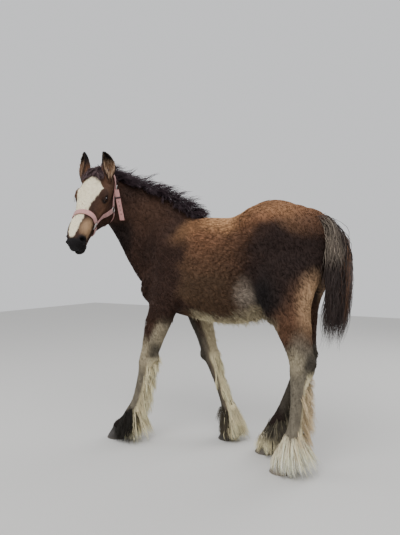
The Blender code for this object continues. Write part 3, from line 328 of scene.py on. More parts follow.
def dressed(item, colours, finish, slot):
    # painted, moved to where the solids stand, and finished
    paintPoints(item.data, colours)
    movePoints(item.data, pointsOf(item.data) + shift)
    finish.on(item, slot)


# The head's own frame: s along the face from the poll, left, and up from the brow.

headPose = {"poll": (-0.491, -0.239, 1.212), "yaw": -74.5, "pitch": 49.0, "roll": 2.0}


def headMatrix():
    yaw, pitch, roll = (math.radians(headPose[key]) for key in ("yaw", "pitch", "roll"))
    forward = Vector((math.cos(yaw), math.sin(yaw), 0))
    up = Vector((0, 0, 1))
    along = math.cos(pitch) * forward - math.sin(pitch) * up
    brow = math.sin(pitch) * forward + math.cos(pitch) * up
    left = up.cross(forward)
    brow, left = math.cos(roll) * brow + math.sin(roll) * left, math.cos(roll) * left - math.sin(roll) * brow
    return Matrix.Translation(headPose["poll"]) @ Matrix((along, left, brow)).transposed().to_4x4()


headPlace = headMatrix()
headTurn = np.array(headPlace.to_3x3())


def onHead(s, left, up):
    return headPlace @ Vector((s, left, up))


def headPoints(p):
    # points as (s, left, up) of the head's frame
    return (p - np.array(headPose["poll"])) @ headTurn


def fromHead(q):
    return q @ headTurn.T + np.array(headPose["poll"])


# The body's forms.

trunk = {
    # x, top, bottom and half-width, from the breast to the buttocks
    "outline": (
        (-0.365, 0.8, 0.7, 0.045), (-0.34, 0.87, 0.64, 0.085), (-0.26, 0.95, 0.585, 0.118),
        (-0.15, 1.0, 0.56, 0.136), (-0.04, 1.002, 0.548, 0.148), (0.06, 0.998, 0.543, 0.154),
        (0.14, 1.03, 0.556, 0.152), (0.22, 1.064, 0.59, 0.146), (0.3, 1.058, 0.64, 0.138),
        (0.38, 1.018, 0.69, 0.122), (0.44, 0.97, 0.75, 0.09), (0.478, 0.92, 0.81, 0.05),
    ),
    # centre, radii and turn of the muscles of one side, y to be signed
    "muscles": (
        ((-0.2, 0.082, 0.8), (0.095, 0.056, 0.19), (0, -24, 0)),
        ((-0.305, 0.075, 0.695), (0.062, 0.052, 0.075), (0, 0, 0)),
        ((-0.235, 0.098, 0.655), (0.085, 0.05, 0.085), (0, 40, 0)),
        ((0.235, 0.085, 0.965), (0.115, 0.06, 0.075), (0, 0, 0)),
        ((0.345, 0.072, 0.9), (0.135, 0.07, 0.14), (0, 25, 0)),
        ((0.425, 0.07, 0.81), (0.062, 0.055, 0.13), (0, 8, 0)),
        ((0.17, 0.085, 0.72), (0.12, 0.06, 0.12), (0, 0, 0)),
    ),
}
foreSizes = (
    # height, half-size along and across
    (0.76, 0.088, 0.05), (0.68, 0.088, 0.054), (0.6, 0.074, 0.05), (0.53, 0.061, 0.045),
    (0.46, 0.049, 0.039), (0.4, 0.043, 0.038), (0.365, 0.042, 0.038), (0.32, 0.033, 0.03),
    (0.25, 0.028, 0.026), (0.185, 0.028, 0.026), (0.14, 0.035, 0.032), (0.104, 0.031, 0.029),
    (0.072, 0.037, 0.036), (0.05, 0.038, 0.037),
)
hindSizes = (
    (0.86, 0.14, 0.06), (0.74, 0.132, 0.068), (0.64, 0.102, 0.06), (0.56, 0.076, 0.05),
    (0.48, 0.057, 0.041), (0.43, 0.053, 0.038), (0.385, 0.048, 0.036), (0.34, 0.036, 0.031),
    (0.265, 0.03, 0.027), (0.19, 0.03, 0.027), (0.145, 0.037, 0.033), (0.105, 0.032, 0.03),
    (0.075, 0.038, 0.037), (0.05, 0.039, 0.038),
)
legs = {
    # sizes, x and y of each station, and x and y of the sole's middle
    "fore_left": (foreSizes,
                  (-0.2, -0.205, -0.228, -0.252, -0.276, -0.297, -0.308,
                   -0.322, -0.343, -0.365, -0.388, -0.418, -0.452, -0.462),
                  (-0.085, -0.1, -0.113, -0.118) + (-0.12,) * 10, (-0.482, -0.12)),
    "fore_right": (foreSizes,
                   (-0.2, -0.2, -0.19, -0.172, -0.147, -0.128, -0.117,
                    -0.1, -0.072, -0.046, -0.026, -0.02, -0.024, -0.026),
                   (0.085, 0.1, 0.113, 0.118) + (0.12,) * 10, (-0.03, 0.12)),
    "hind_left": (hindSizes,
                  (0.33, 0.335, 0.345, 0.37, 0.393, 0.406, 0.404,
                   0.394, 0.388, 0.38, 0.372, 0.352, 0.335, 0.328),
                  (-0.07, -0.1, -0.118, -0.12, -0.118, -0.115, -0.114,
                   -0.113, -0.112, -0.112, -0.113, -0.114, -0.115, -0.115), (0.322, -0.115)),
    "hind_right": (hindSizes,
                   (0.325, 0.315, 0.305, 0.318, 0.338, 0.35, 0.345,
                    0.33, 0.298, 0.266, 0.246, 0.221, 0.2, 0.192),
                   (0.07, 0.1, 0.114, 0.108, 0.09, 0.076, 0.068,
                    0.064, 0.059, 0.055, 0.053, 0.051, 0.05, 0.05), (0.187, 0.05)),
}
neck = (
    # crest, throat and half-width, from inside the shoulders to the back of the skull
    ((-0.04, 0.0, 0.97), (-0.24, 0.0, 0.62), 0.12),
    ((-0.13, 0.0, 1.015), (-0.382, -0.005, 0.69), 0.11),
    ((-0.25, 0.004, 1.09), (-0.455, -0.018, 0.775), 0.092),
    ((-0.372, -0.02, 1.15), (-0.497, -0.052, 0.862), 0.076),
    ((-0.465, -0.085, 1.185), (-0.516, -0.105, 0.945), 0.064),
    ((-0.502, -0.16, 1.198), (-0.52, -0.152, 1.0), 0.056),
    ((-0.498, -0.205, 1.196), (-0.506, -0.194, 1.02), 0.05),
)


def trunkShells():
    stations = [(x, 0, (top + low) / 2, 0, 0, (top - low) / 2, 0, half, 0) for x, top, low, half in trunk["outline"]]
    shells = [loft(stations, sides=64, power=0.88)]
    for side in (-1, 1):
        shells += [egg((x, side * y, z), radii, turn) for (x, y, z), radii, turn in trunk["muscles"]]
    return shells


def neckShell():
    tops, lows, halves = (np.array(column) for column in zip(*neck))
    middles, tall = (tops + lows) / 2, (tops - lows) / 2
    across = np.cross(tall, np.gradient(middles, axis=0))
    across *= (halves / np.linalg.norm(across, axis=1))[:, None]
    return loft(np.hstack([middles, tall, across]), sides=56, power=0.92)


def legShells(leg):
    sizes, xs, ys, _ = legs[leg]
    shells = [loft([(x, y, z, 0, b, 0, a, 0, 0) for (z, a, b), x, y in zip(sizes, xs, ys)])]
    if leg.startswith("hind"):
        shells += [
            egg((xs[5] + 0.034, ys[5], 0.436), (0.024, 0.019, 0.036), (0, -8, 0)),  # point of the hock
            egg((xs[4] + 0.036, ys[4], 0.5), (0.014, 0.014, 0.06), (0, 12, 0)),  # its tendon
            egg((xs[2] - 0.06, ys[2], 0.63), (0.045, 0.04, 0.065)),  # stifle
        ]
    else:
        shells += [
            egg((xs[5] - 0.012, ys[5], 0.382), (0.034, 0.038, 0.04)),  # knee
            egg((xs[5] + 0.034, ys[5], 0.388), (0.018, 0.016, 0.026)),  # the bone behind it
            egg((-0.158, ys[1], 0.655), (0.04, 0.034, 0.045)),  # elbow
        ]
    return shells + [egg((xs[10] + 0.018, ys[10], 0.135), (0.024, 0.026, 0.028))]  # back of the fetlock


head = {
    # distance from the poll, top, bottom and half-width
    "skull": (
        (-0.045, -0.03, -0.09, 0.03), (-0.03, -0.008, -0.105, 0.05), (0.0, 0.002, -0.115, 0.062),
        (0.05, 0.008, -0.12, 0.067), (0.1, 0.008, -0.12, 0.07), (0.14, 0.002, -0.118, 0.067),
        (0.18, -0.006, -0.115, 0.059), (0.23, -0.016, -0.11, 0.049), (0.28, -0.02, -0.105, 0.042),
        (0.325, -0.024, -0.105, 0.038), (0.362, -0.028, -0.104, 0.037), (0.388, -0.036, -0.098, 0.032),
        (0.402, -0.052, -0.085, 0.018),
    ),
    "jaw": (
        (0.01, -0.06, -0.14, 0.026), (0.045, -0.06, -0.182, 0.036), (0.095, -0.06, -0.204, 0.041),
        (0.145, -0.06, -0.199, 0.04), (0.195, -0.06, -0.172, 0.036), (0.245, -0.06, -0.146, 0.031),
        (0.3, -0.07, -0.128, 0.028), (0.34, -0.08, -0.124, 0.026), (0.368, -0.09, -0.126, 0.023),
        (0.384, -0.1, -0.122, 0.015),
    ),
    # centre, radii and turn of the forms of one side, left to be signed
    "sides": (
        ((0.122, 0.053, -0.03), (0.036, 0.023, 0.024), (0, 0, 0)),  # brow
        ((0.11, 0.034, -0.128), (0.076, 0.026, 0.064), (0, 8, 0)),  # cheek
        ((0.195, 0.045, -0.072), (0.062, 0.014, 0.016), (0, 0, -11)),  # cheekbone
        ((0.3, 0.026, -0.05), (0.07, 0.022, 0.026), (0, 0, 0)),  # side of the nose
        ((0.366, 0.026, -0.058), (0.026, 0.015, 0.025), (0, 30, 0)),  # nostril flare
        ((0.036, 0.05, -0.026), (0.03, 0.022, 0.028), (0, 0, 0)),  # ear's root
        ((0.374, 0.014, -0.086), (0.026, 0.021, 0.024), (0, 0, 0)),  # upper lip
    ),
    "eye": (0.14, 0.057, -0.044), "eyeRadius": 0.0165,
    "nostril": (0.37, 0.04, -0.054),
}


def headShells():
    shells = []
    for rows, power in ((head["skull"], 0.9), (head["jaw"], 0.85)):
        stations = [(*onHead(s, 0, (top + low) / 2), *(headTurn @ (0, 0, (top - low) / 2)), *(headTurn @ (0, half, 0)))
                    for s, top, low, half in rows]
        shells.append(loft(stations, sides=48, power=power))
    for side in (-1, 1):
        for (s, left, up), radii, (a, b, c) in head["sides"]:
            shells.append(egg((s, side * left, up), radii, (a, b, side * c), headPlace))
    shells.append(egg((0.372, 0, -0.116), (0.022, 0.024, 0.014), place=headPlace))  # lower lip
    shells.append(egg((0.35, 0, -0.124), (0.024, 0.019, 0.014), place=headPlace))  # chin
    return shells


def eyeCentre(side):
    s, left, up = head["eye"]
    return np.array(onHead(s, side * left, up))


def eyeAxes(side):
    # outwards, from corner to corner, and upwards over the lid
    out = unit(headTurn @ (0.1, side, 0.22))
    long = headTurn @ np.array((0.95, 0, -0.3))
    long = unit(long - (long @ out) * out)
    tall = np.cross(out, long)
    return out, long, tall * np.sign(tall @ (headTurn @ (0, 0, 1)))


def lidLine(side, turn, high, ball):
    # along a lid: long * cos + tall * high * sin, raised onto a ball round the eye
    out, long, tall = eyeAxes(side)
    radius = head["eyeRadius"]
    across, rise = radius * 1.02 * np.cos(turn), radius * high * np.sin(turn)
    depth = np.sqrt(np.maximum(0, (radius * ball) ** 2 - across**2 - rise**2))
    return eyeCentre(side) + np.outer(across, long) + np.outer(rise, tall) + np.outer(depth, out)


def lidShell(side, high, thick):
    # a rim of round section over the eye
    turn = np.linspace(0, math.pi, 25)
    line = lidLine(side, turn, high, 1.1)
    ahead, out = unit(np.gradient(line, axis=0)), eyeAxes(side)[0]
    up = unit(out - (ahead @ out)[:, None] * ahead)
    return tube("shell", line, np.cross(ahead, up), up, thick * (0.75 + 0.25 * np.sin(turn)), 10)


def inHead(p):
    # 1 on the head's side of the slanting plane behind the skull, 0 on the neck's, softly between
    q = headPoints(p)
    ahead = (q[:, 0] + 0.036) * 0.9 - q[:, 1] * 0.1 + q[:, 2] * 0.42
    return soften(ahead, -0.012, 0.016) * soften(q[:, 2], -0.235, -0.205) * soften(-abs(q[:, 1]), -0.13, -0.1)


coatDepth = {"trunk": 0.0042, "legs": 0.0026, "head": 0.0014, "under": 0.0065}


def bodySkin():
    shells = trunkShells() + [neckShell()] + headShells()
    for leg in legs:
        shells += legShells(leg)
    item = grownSkin(shells, 0.0059, 100, 4)
    spots, ways = pointsOf(item.data), normalsOf(item.data)
    onHeadSide = inHead(spots)
    x, _, z = spots.T
    depth = coatDepth["legs"] + (coatDepth["trunk"] - coatDepth["legs"]) * soften(z, 0.4, 0.6)
    breast = soften(x, -0.27, -0.34) * soften(z, 0.95, 0.8) * soften(z, 0.5, 0.6)
    depth = depth * (1 - 0.95 * breast) + coatDepth["under"] * onHeadSide
    movePoints(item.data, spots - ways * depth[:, None])
    # the pasterns end inside the hooves
    dropFaces(item, (onHeadSide > 0.97) | (pointsOf(item.data)[:, 2] < 0.035))
    item.name = item.data.name = "bodySkin"
    return item


def bell(x, middle, width):
    return np.exp(-(((x - middle) / width) ** 2))


def headSkin():
    shells = headShells() + [neckShell()]
    for side in (-1, 1):
        shells += [lidShell(side, 0.78, 0.0034), lidShell(side, -0.64, 0.0028)]
    item = grownSkin(shells, 0.0024, 380, 3)
    spots, ways = pointsOf(item.data), normalsOf(item.data)
    onHeadSide = inHead(spots)
    spots = spots - ways * (coatDepth["head"] + (coatDepth["trunk"] + 0.005) * (1 - onHeadSide))[:, None]
    q = headPoints(spots)
    for side in (-1, 1):
        # nostril: a comma-shaped pit with a raised wing
        s, _, up = head["nostril"]
        a, b = q[:, 0] - s, q[:, 2] - up
        reach = np.sqrt(((a * 0.88 - b * 0.47) / 0.0072) ** 2 + ((a * 0.47 + b * 0.88) / 0.014) ** 2)
        onSide = soften(q[:, 1] * side, 0.012, 0.024)
        q[:, 1] -= side * onSide * (0.0175 * np.exp(-(reach**2) * 1.1) - 0.003 * np.exp(-((reach - 1.85) ** 2) * 5))
        # socket: the lids' opening sinks behind the eyeball's front
        out, long, tall = (v @ headTurn for v in eyeAxes(side))
        away = q - headPoints(eyeCentre(side))
        lens = np.sqrt((away @ long / 0.0152) ** 2 + ((away @ tall - 0.001) / 0.01) ** 2)
        front = away @ out > 0
        q -= out * (front * 0.013 * soften(lens, 1.0, 0.6))[:, None]
        # folds: two over the upper lid and one under the lower
        fold = np.sqrt((away @ long / 1.35) ** 2 + (away @ tall) ** 2)
        above, below = soften(away @ tall, 0.004, 0.012), soften(-(away @ tall), 0.004, 0.01)
        crease = above * (bell(fold, 0.02, 0.0013) + 0.7 * bell(fold, 0.0255, 0.0016))
        crease = crease + below * 0.8 * bell(fold, 0.018, 0.0013)
        q -= out * (front * 0.0013 * crease)[:, None]
    # the mouth's line round the muzzle, and a fold behind its corner
    lineUp = -0.1035 - 0.01 * np.clip((q[:, 0] - 0.318) / 0.094, 0, 1) ** 4
    onLine = bell(q[:, 2], lineUp, 0.0022) * soften(q[:, 0], 0.312, 0.33)
    middle = np.stack([0 * lineUp + 0.35, 0 * lineUp, lineUp], 1)
    q -= unit(q - middle) * (0.0046 * onLine)[:, None]
    movePoints(item.data, fromHead(q))
    dropFaces(item, onHeadSide < 0.03)
    item.name = item.data.name = "headSkin"
    return item


# Markings, and painted shade in the nostrils and on the throat under the jaw. Every colour is a named value, and the
# masks are soft regions in the foal's own frame.

paint = {
    "gold": (0.285, 0.15, 0.072), "chestnut": (0.225, 0.108, 0.056), "bay": (0.135, 0.067, 0.037),
    "darkBay": (0.05, 0.025, 0.017), "nearBlack": (0.018, 0.01, 0.008), "black": (0.006, 0.0045, 0.0045),
    "beige": (0.43, 0.36, 0.235), "cream": (0.74, 0.65, 0.42), "white": (0.8, 0.71, 0.52),
    "grey": (0.185, 0.16, 0.118), "darkGrey": (0.055, 0.046, 0.035), "tan": (0.365, 0.23, 0.13),
    "mane": (0.048, 0.032, 0.038), "tail": (0.044, 0.032, 0.029), "ash": (0.26, 0.212, 0.165),
    "forelock": (0.108, 0.072, 0.075), "pale": (0.48, 0.27, 0.135), "olive": (0.085, 0.05, 0.028),
    # nostril: near black, painted shade deep inside each nostril's pit
    "earHair": (0.42, 0.285, 0.19), "nostril": (0.003, 0.002, 0.002), "muzzle": (0.008, 0.0065, 0.007),
}


def plain(colour, p):
    return np.tile(np.array(paint[colour]), (len(p), 1))


def over(base, *coats):
    # paints mixed over the base one by one: base + (paint - base) * mask
    for colour, mask in coats:
        base = base + (np.array(paint[colour]) - base) * np.clip(mask, 0, 1)[:, None]
    return base


def patch(p, centre, radii, soft=0.45):
    # 1 inside an ellipsoid, falling softly to 0 outside it
    reach = np.linalg.norm((p - np.array(centre)) / np.array(radii), axis=1)
    return soften(reach, 1 + soft, 1 - soft)


def legCore(leg, z):
    # x and y of a leg's middle at heights z
    sizes, xs, ys, _ = legs[leg]
    heights = [-row[0] for row in sizes]
    return np.stack([np.interp(-z, heights, xs), np.interp(-z, heights, ys)], 1)


def legOf(p):
    # the leg that each point is nearest to, and the point's offset from that leg's core
    offsets = np.array([p[:, :2] - legCore(leg, p[:, 2]) for leg in legs])
    nearest = np.argmin(np.linalg.norm(offsets, axis=2), axis=0)
    return nearest, offsets[nearest, np.arange(len(p))]


def legColour(p):
    which, off = legOf(p)
    z, (x, y) = p[:, 2], off.T
    ruffle = 0.012 * waves(p, 0.05, 3)
    mottle = 0.5 + 0.5 * waves(p * (1, 1, 0.5), 0.03, 14)
    behind, hock = soften(x, -0.01, 0.03), soften(z + ruffle, 0.52, 0.44)
    coats = {
        "fore_left": (
            ("bay", soften(z, 0.5, 0.58) * 0.35),
            ("grey", soften(z + ruffle - 0.1 * behind, 0.52, 0.42) * 0.95),
            ("beige", behind * patch(p, (-0.25, -0.12, 0.52), (0.06, 0.1, 0.1)) * 0.5),
            ("beige", patch(p, (-0.3, -0.12, 0.4), (0.05, 0.08, 0.08)) * 0.6),
            ("darkGrey", soften(z, 0.4, 0.3) * mottle * 0.45),
            ("darkGrey", behind * patch(p, (-0.262, -0.14, 0.42), (0.032, 0.06, 0.042)) * 0.85),
            ("nearBlack", soften(z + ruffle, 0.175, 0.135)),
            ("cream", soften(x + 0.3 * y, 0.006, 0.02) * soften(z, 0.4, 0.34)),
        ),
        "fore_right": (
            ("grey", soften(z + ruffle, 0.56, 0.44) * (0.35 + 0.4 * mottle)),
            ("darkGrey", soften(x, 0.006, -0.02)),
            ("beige", soften(x, 0.012, 0.03) * soften(z, 0.6, 0.5)),
            ("cream", soften(x, 0.004, 0.022) * soften(z, 0.42, 0.36)),
            ("nearBlack", soften(z, 0.16, 0.11) * soften(x, 0.01, -0.015)),
        ),
        "hind_left": (
            ("bay", soften(z, 0.46, 0.55) * 0.8),
            ("grey", patch(p, (0.412, -0.16, 0.5), (0.034, 0.06, 0.085), 0.6) * (0.55 + 6 * ruffle)),
            ("grey", hock),
            ("beige", patch(p, (0.385, -0.16, 0.43), (0.04, 0.06, 0.05), 0.6) * 0.45),
            ("darkGrey", soften(z + ruffle, 0.44, 0.36) * (0.05 + 0.32 * mottle)),
            ("darkGrey", patch(p, (0.447, -0.115, 0.425), (0.026, 0.05, 0.05))),
            ("cream", soften(x + y * 0.4, 0.014, 0.026) * soften(z, 0.41, 0.36)),
            ("white", soften(z + ruffle, 0.155, 0.125)),
        ),
        "hind_right": (
            ("darkGrey", hock),
            ("nearBlack", patch(p, (0.232, 0.045, 0.15), (0.05, 0.06, 0.055))),
            ("white", patch(p, (0.18, 0.03, 0.085), (0.035, 0.05, 0.035))),
        ),
    }
    c = plain("darkBay", p)
    for k, leg in enumerate(legs):
        c = over(c, *[(colour, (which == k) * mask) for colour, mask in coats[leg]])
    return c


def bodyColour(p):
    x, _, z = p.T
    ruffle = 0.03 * waves(p, 0.16, 1) + 0.01 * waves(p, 0.045, 2)
    lean = (z - 0.8) * 0.12
    barrel = soften(x + ruffle, -0.165, -0.095) * soften(x + ruffle * 0.7 - lean, 0.225, 0.155)
    haunch = soften(x + ruffle * 0.9 - lean, 0.095, 0.265)
    # the height over the dark haunch's upper edge, and the depth under the back's line
    rise = z + ruffle * 0.7 - np.interp(x, (0.18, 0.3, 0.42), (0.95, 0.974, 0.99))
    back = np.interp(x, (-0.25, -0.1, 0.06, 0.14, 0.22, 0.3, 0.44), (1.0, 0.99, 0.985, 1.015, 1.045, 1.04, 0.96))
    under = back - z + ruffle * 0.5
    onBack = soften(under, 0.085, 0.012)
    onWithers = onBack * soften(x, -0.22, -0.12) * soften(x, 0.3, 0.1)
    onLoins = soften(under, 0.045, 0.0) * soften(x, -0.1, 0.0) * soften(x, 0.2, 0.08)
    onBelly = soften(z + ruffle * 0.4, 0.606, 0.562) * soften(x, -0.16, -0.06) * soften(x, 0.34, 0.26)
    c = over(
        plain("darkBay", p),
        ("olive", barrel * 0.8),
        ("bay", barrel * soften(z + ruffle, 0.71, 0.9)),
        ("chestnut", barrel * soften(z + ruffle, 0.84, 0.98) * 0.85),
        ("nearBlack", soften(x + ruffle, -0.11, -0.17) * 0.42),
        ("darkBay", soften(x + ruffle * 0.9, 0.02, 0.2) * soften(rise, 0.075, -0.07) * 0.6),
        ("nearBlack", haunch * soften(rise, 0.04, -0.085) * 0.95),
        ("chestnut", haunch * soften(rise, -0.03, 0.045)),
        ("bay", haunch * soften(z + ruffle, 0.68, 0.58) * 0.5),
        ("gold", onWithers * (0.45 + 0.5 * soften(x, -0.12, -0.02))),
        ("pale", onLoins * 0.9),
        ("gold", onBack * soften(x, 0.1, 0.3) * soften(x, 0.44, 0.34) * 0.5),
        ("gold", patch(p, (-0.15, -0.1, 0.94), (0.06, 0.1, 0.05), 0.8) * 0.4),
        ("bay", patch(p, (0.41, 0, 0.96), (0.08, 0.14, 0.06), 0.6) * 0.9),
        ("chestnut", haunch * patch(p, (0.395, -0.16, 0.56), (0.075, 0.07, 0.07), 0.6) * 0.12),
        ("bay", patch(p, (0.43, -0.13, 0.62), (0.07, 0.09, 0.115), 0.6) * 0.7),
        ("tan", patch(p, (0.45, -0.11, 0.64), (0.05, 0.09, 0.11), 0.55) * (0.98 + 3 * ruffle)),
        ("black", patch(p, (0.26, -0.14, 0.66), (0.06, 0.08, 0.095), 0.6) * 0.85),
        ("tan", patch(p, (0.445, 0.09, 0.665), (0.04, 0.07, 0.125)) * 0.7),
    )
    for q in (p, p * (1, -1, 1)):
        c = over(c, ("ash", patch(q, (0.165, -0.15, 0.65), (0.043, 0.08, 0.078), 0.62) * (0.8 + 7 * ruffle)),
                 ("beige", patch(q, (0.2, -0.13, 0.585), (0.055, 0.08, 0.048), 0.5) * 0.9))
    return mixed(over(c, ("cream", onBelly * 0.92)), legColour(p), soften(z, 0.6, 0.5))


def neckColour(p):
    return over(
        plain("nearBlack", p),
        ("darkBay", 0.62 + 0.3 * waves(p, 0.1, 4)),
        ("bay", patch(p, (-0.33, -0.1, 1.03), (0.1, 0.1, 0.08), 0.8) * 0.2),
        # painted shadow: the near side of the throat under the jaw, darkened towards black
        ("black", patch(p, (-0.47, -0.12, 0.93), (0.06, 0.1, 0.1)) * 0.7),
    )


def headColour(p):
    q = headPoints(p)
    s, left, up = q.T
    edge = 0.0016 * waves(p, 0.012, 5) + 0.0016 * waves(p, 0.04, 6)
    # the blaze: half-widths along the face on each side of its middle
    leftSide = np.interp(s, (0.045, 0.075, 0.11, 0.135, 0.165, 0.2, 0.25, 0.3, 0.345, 0.37),
                         (0.01, 0.036, 0.058, 0.05, 0.034, 0.025, 0.017, 0.011, 0.007, 0.003))
    rightSide = np.interp(s, (0.045, 0.075, 0.11, 0.15, 0.2, 0.25, 0.3, 0.35, 0.375),
                          (0.02, 0.044, 0.056, 0.054, 0.046, 0.04, 0.036, 0.028, 0.012))
    inside = np.minimum(leftSide - left, left + rightSide) + edge
    alongFace = soften(s + edge, 0.04, 0.056) * soften(s, 0.38, 0.366) * soften(up, -0.062, -0.045)
    c = over(
        plain("darkBay", p),
        ("bay", patch(q, (0.17, 0.05, -0.07), (0.06, 0.03, 0.04)) * 0.5),
        ("bay", patch(q, (0.08, -0.06, -0.04), (0.08, 0.05, 0.06)) * 0.7),
        ("bay", patch(q, (0.06, 0.06, -0.04), (0.05, 0.05, 0.05)) * 0.5),
        ("tan", patch(q, (0.312, 0.034, -0.052), (0.044, 0.026, 0.03))),
        ("tan", patch(q, (0.3, -0.034, -0.07), (0.03, 0.016, 0.02)) * 0.4),
        ("muzzle", soften(s + up * 0.25 + edge, 0.318, 0.345) * soften(up, -0.046, -0.06)),
        ("muzzle", patch(q, (0.372, 0.036, -0.052), (0.02, 0.022, 0.026))),
        ("muzzle", patch(q, (0.372, -0.036, -0.052), (0.018, 0.02, 0.024))),
        ("muzzle", soften(s, 0.37, 0.384)),
        ("white", soften(inside, -0.003, 0.003) * alongFace),
    )
    for side in (-1, 1):
        # each nostril is filled with the near-black nostril paint: painted shade deep in the pit
        nostril = np.array(head["nostril"]) * (1, side, 1) - (0, side * 0.008, 0)
        c = over(c, ("black", patch(q, headPoints(eyeCentre(side)), (0.0235, 0.03, 0.0165), 0.2) * 0.92),
                 ("nostril", patch(q, nostril, (0.01, 0.009, 0.014), 0.3)))
    return over(c, ("darkGrey", patch(q, (0.365, 0, -0.122), (0.03, 0.03, 0.012)) * 0.6))


def pastShoulder(p):
    # the distance ahead of a slanting plane before the shoulders
    return -(p[:, 0] + 0.125) * 0.8 + (p[:, 2] - 0.98) * 0.6


def coatColour(p):
    # the whole coat's colour at points: trunk and legs, the neck ahead of the shoulders, and the head
    before = soften(pastShoulder(p), -0.02, 0.05) * soften(p[:, 2], 0.6, 0.7)
    return mixed(mixed(bodyColour(p), neckColour(p), before), headColour(p), inHead(p))


# The lie of the hair.


def flow(p, normals):
    # a direction by region, laid into the skin's tangent plane and turned a little by soft waves
    _, y, z = p.T
    low = soften(z, 0.68, 0.5) * (1 - soften(-abs(y), -0.06, -0.03) * soften(z, 0.5, 0.53))
    regions = ((soften(p[:, 0], 0.16, 0.34), (0.5, 0, -0.86)),
               (soften(pastShoulder(p), -0.02, 0.08), (0.5, 0.25, -0.8)), (low, (0.1, 0, -1.0)))
    way = np.tile((0.92, 0, -0.4), (len(p), 1))
    for share, ahead in regions:
        way = mixed(way, np.array(ahead), share)
    one = np.ones(len(p))
    mask = inHead(p)
    way = mixed(way, np.stack([one, 0.25 * np.sign(headPoints(p)[:, 1]), -0.25 * one], 1) @ headTurn.T, mask)
    turn = (0.35 * waves(p, 0.07, 8) + 0.15 * waves(p, 0.02, 9)) * (1 - 0.6 * mask)
    way = way + np.cross(normals, way) * turn[:, None]
    return unit(way - (way * normals).sum(1)[:, None] * normals)


def strandPiece(name, paths, widths, facing, colours, roots, sides, flat, taper=0.8):
    # strands as one mesh: rings of a few sides at every station of a path but the last, which is the tip.
    # a point is path + width * (1 - t^2)^taper * (up * flat * sin - across * cos), a little narrower at the root
    n, k, _ = paths.shape
    ahead = unit(np.gradient(paths, axis=1))
    across = unit(np.cross(ahead, facing[:, None]))
    up = np.cross(across, ahead)
    t = np.linspace(0, 1, k)[:-1]
    size = widths[:, None] * ((1 - t**2) ** taper * (0.6 + 0.4 * soften(t, 0, 0.3)))[None]
    # three sides stand with a ridge upwards
    turn = around(sides) + (math.pi / 2 if sides == 3 else 0)
    c, s = np.cos(turn)[:, None], np.sin(turn)[:, None]
    rings = paths[:, :-1, None] + (flat * s * up[:, :-1, None] - c * across[:, :-1, None]) * size[..., None, None]
    spots = np.concatenate([rings.reshape(n, -1, 3), paths[:, -1:]], 1)
    count = spots.shape[1]
    side, last = np.arange(sides), (k - 2) * sides
    tips = np.stack([last + side, last + (side + 1) % sides, 0 * side + count - 1], -1)
    base = (np.arange(n) * count)[:, None, None]
    sets = (bands(k - 1, sides), tips, side[::-1][None])
    quads, tips, caps = ((faces + base).reshape(-1, faces.shape[1]) for faces in sets)
    sets = [quads, np.vstack([tips, caps])] if sides == 3 else [quads, tips, caps]
    tint = np.concatenate([np.repeat(colours[:, :-1], sides, axis=1), colours[:, -1:]], 1).reshape(-1, 3)
    local = np.vstack([np.stack([np.tile(-np.cos(turn), k - 1), np.repeat(t, sides) * 2 - 1], 1), (0, 1)])
    uv = (roots[:, None] * 0.992 + 0.004 + local * 0.0015).reshape(-1, 2)
    print("  %s: %d strands, %d triangles" % (name, n, n * (2 * last + 2 * sides - 2)))
    return makeMesh(name, spots.reshape(-1, 3) + shift, sets, tint, uv)


# Where each part's roots lie on a flat map: round the part's own axis, and along it.


def wrapped(a, b, along):
    return np.stack([np.arctan2(a, b) / 6.2832 + 0.5, np.clip(along, 0, 1)], 1)


def wrapTrunk(p):
    return wrapped(p[:, 1], p[:, 2] - 0.78, (p[:, 0] + 0.58) / 1.14)


def wrapHead(p):
    q = headPoints(p)
    return wrapped(q[:, 1], q[:, 2] + 0.07, (q[:, 0] + 0.1) / 0.52)


def wrapLegs(p):
    which, off = legOf(p)
    flat = wrapped(off[:, 1], off[:, 0], p[:, 2] / 0.8)
    flat[:, 0] = (which + flat[:, 0] * 0.98) / 4
    return flat


def scatter(item, count, weigh):
    # seeded points on a skin, spread by area times a weight, with the skin's directions there
    mesh = item.data
    mesh.calc_loop_triangles()
    corners = np.empty(len(mesh.loop_triangles) * 3, np.int32)
    mesh.loop_triangles.foreach_get("vertices", corners)
    corners = corners.reshape(-1, 3)
    spots, ways = pointsOf(mesh), normalsOf(mesh)
    a, b, c = (spots[corners[:, k]] for k in range(3))
    area = np.linalg.norm(np.cross(b - a, c - a), axis=1) / 2
    weight = area * weigh((a + b + c) / 3)
    chosen = rng.choice(len(corners), count, p=weight / weight.sum())
    u, v = rng.random((2, count, 1))
    u, v = np.where(u + v > 1, 1 - u, u), np.where(u + v > 1, 1 - v, v)
    a, b, c = a[chosen], b[chosen], c[chosen]
    n = ways[corners[chosen]]
    return a + (b - a) * u + (c - a) * v, unit(n[:, 0] * (1 - u - v) + n[:, 1] * u + n[:, 2] * v)


def nearestOf(places, centres):
    found = KDTree(len(centres))
    for k, centre in enumerate(centres):
        found.insert(centre, k)
    found.balance()
    return np.array([found.find(p)[1] for p in places])


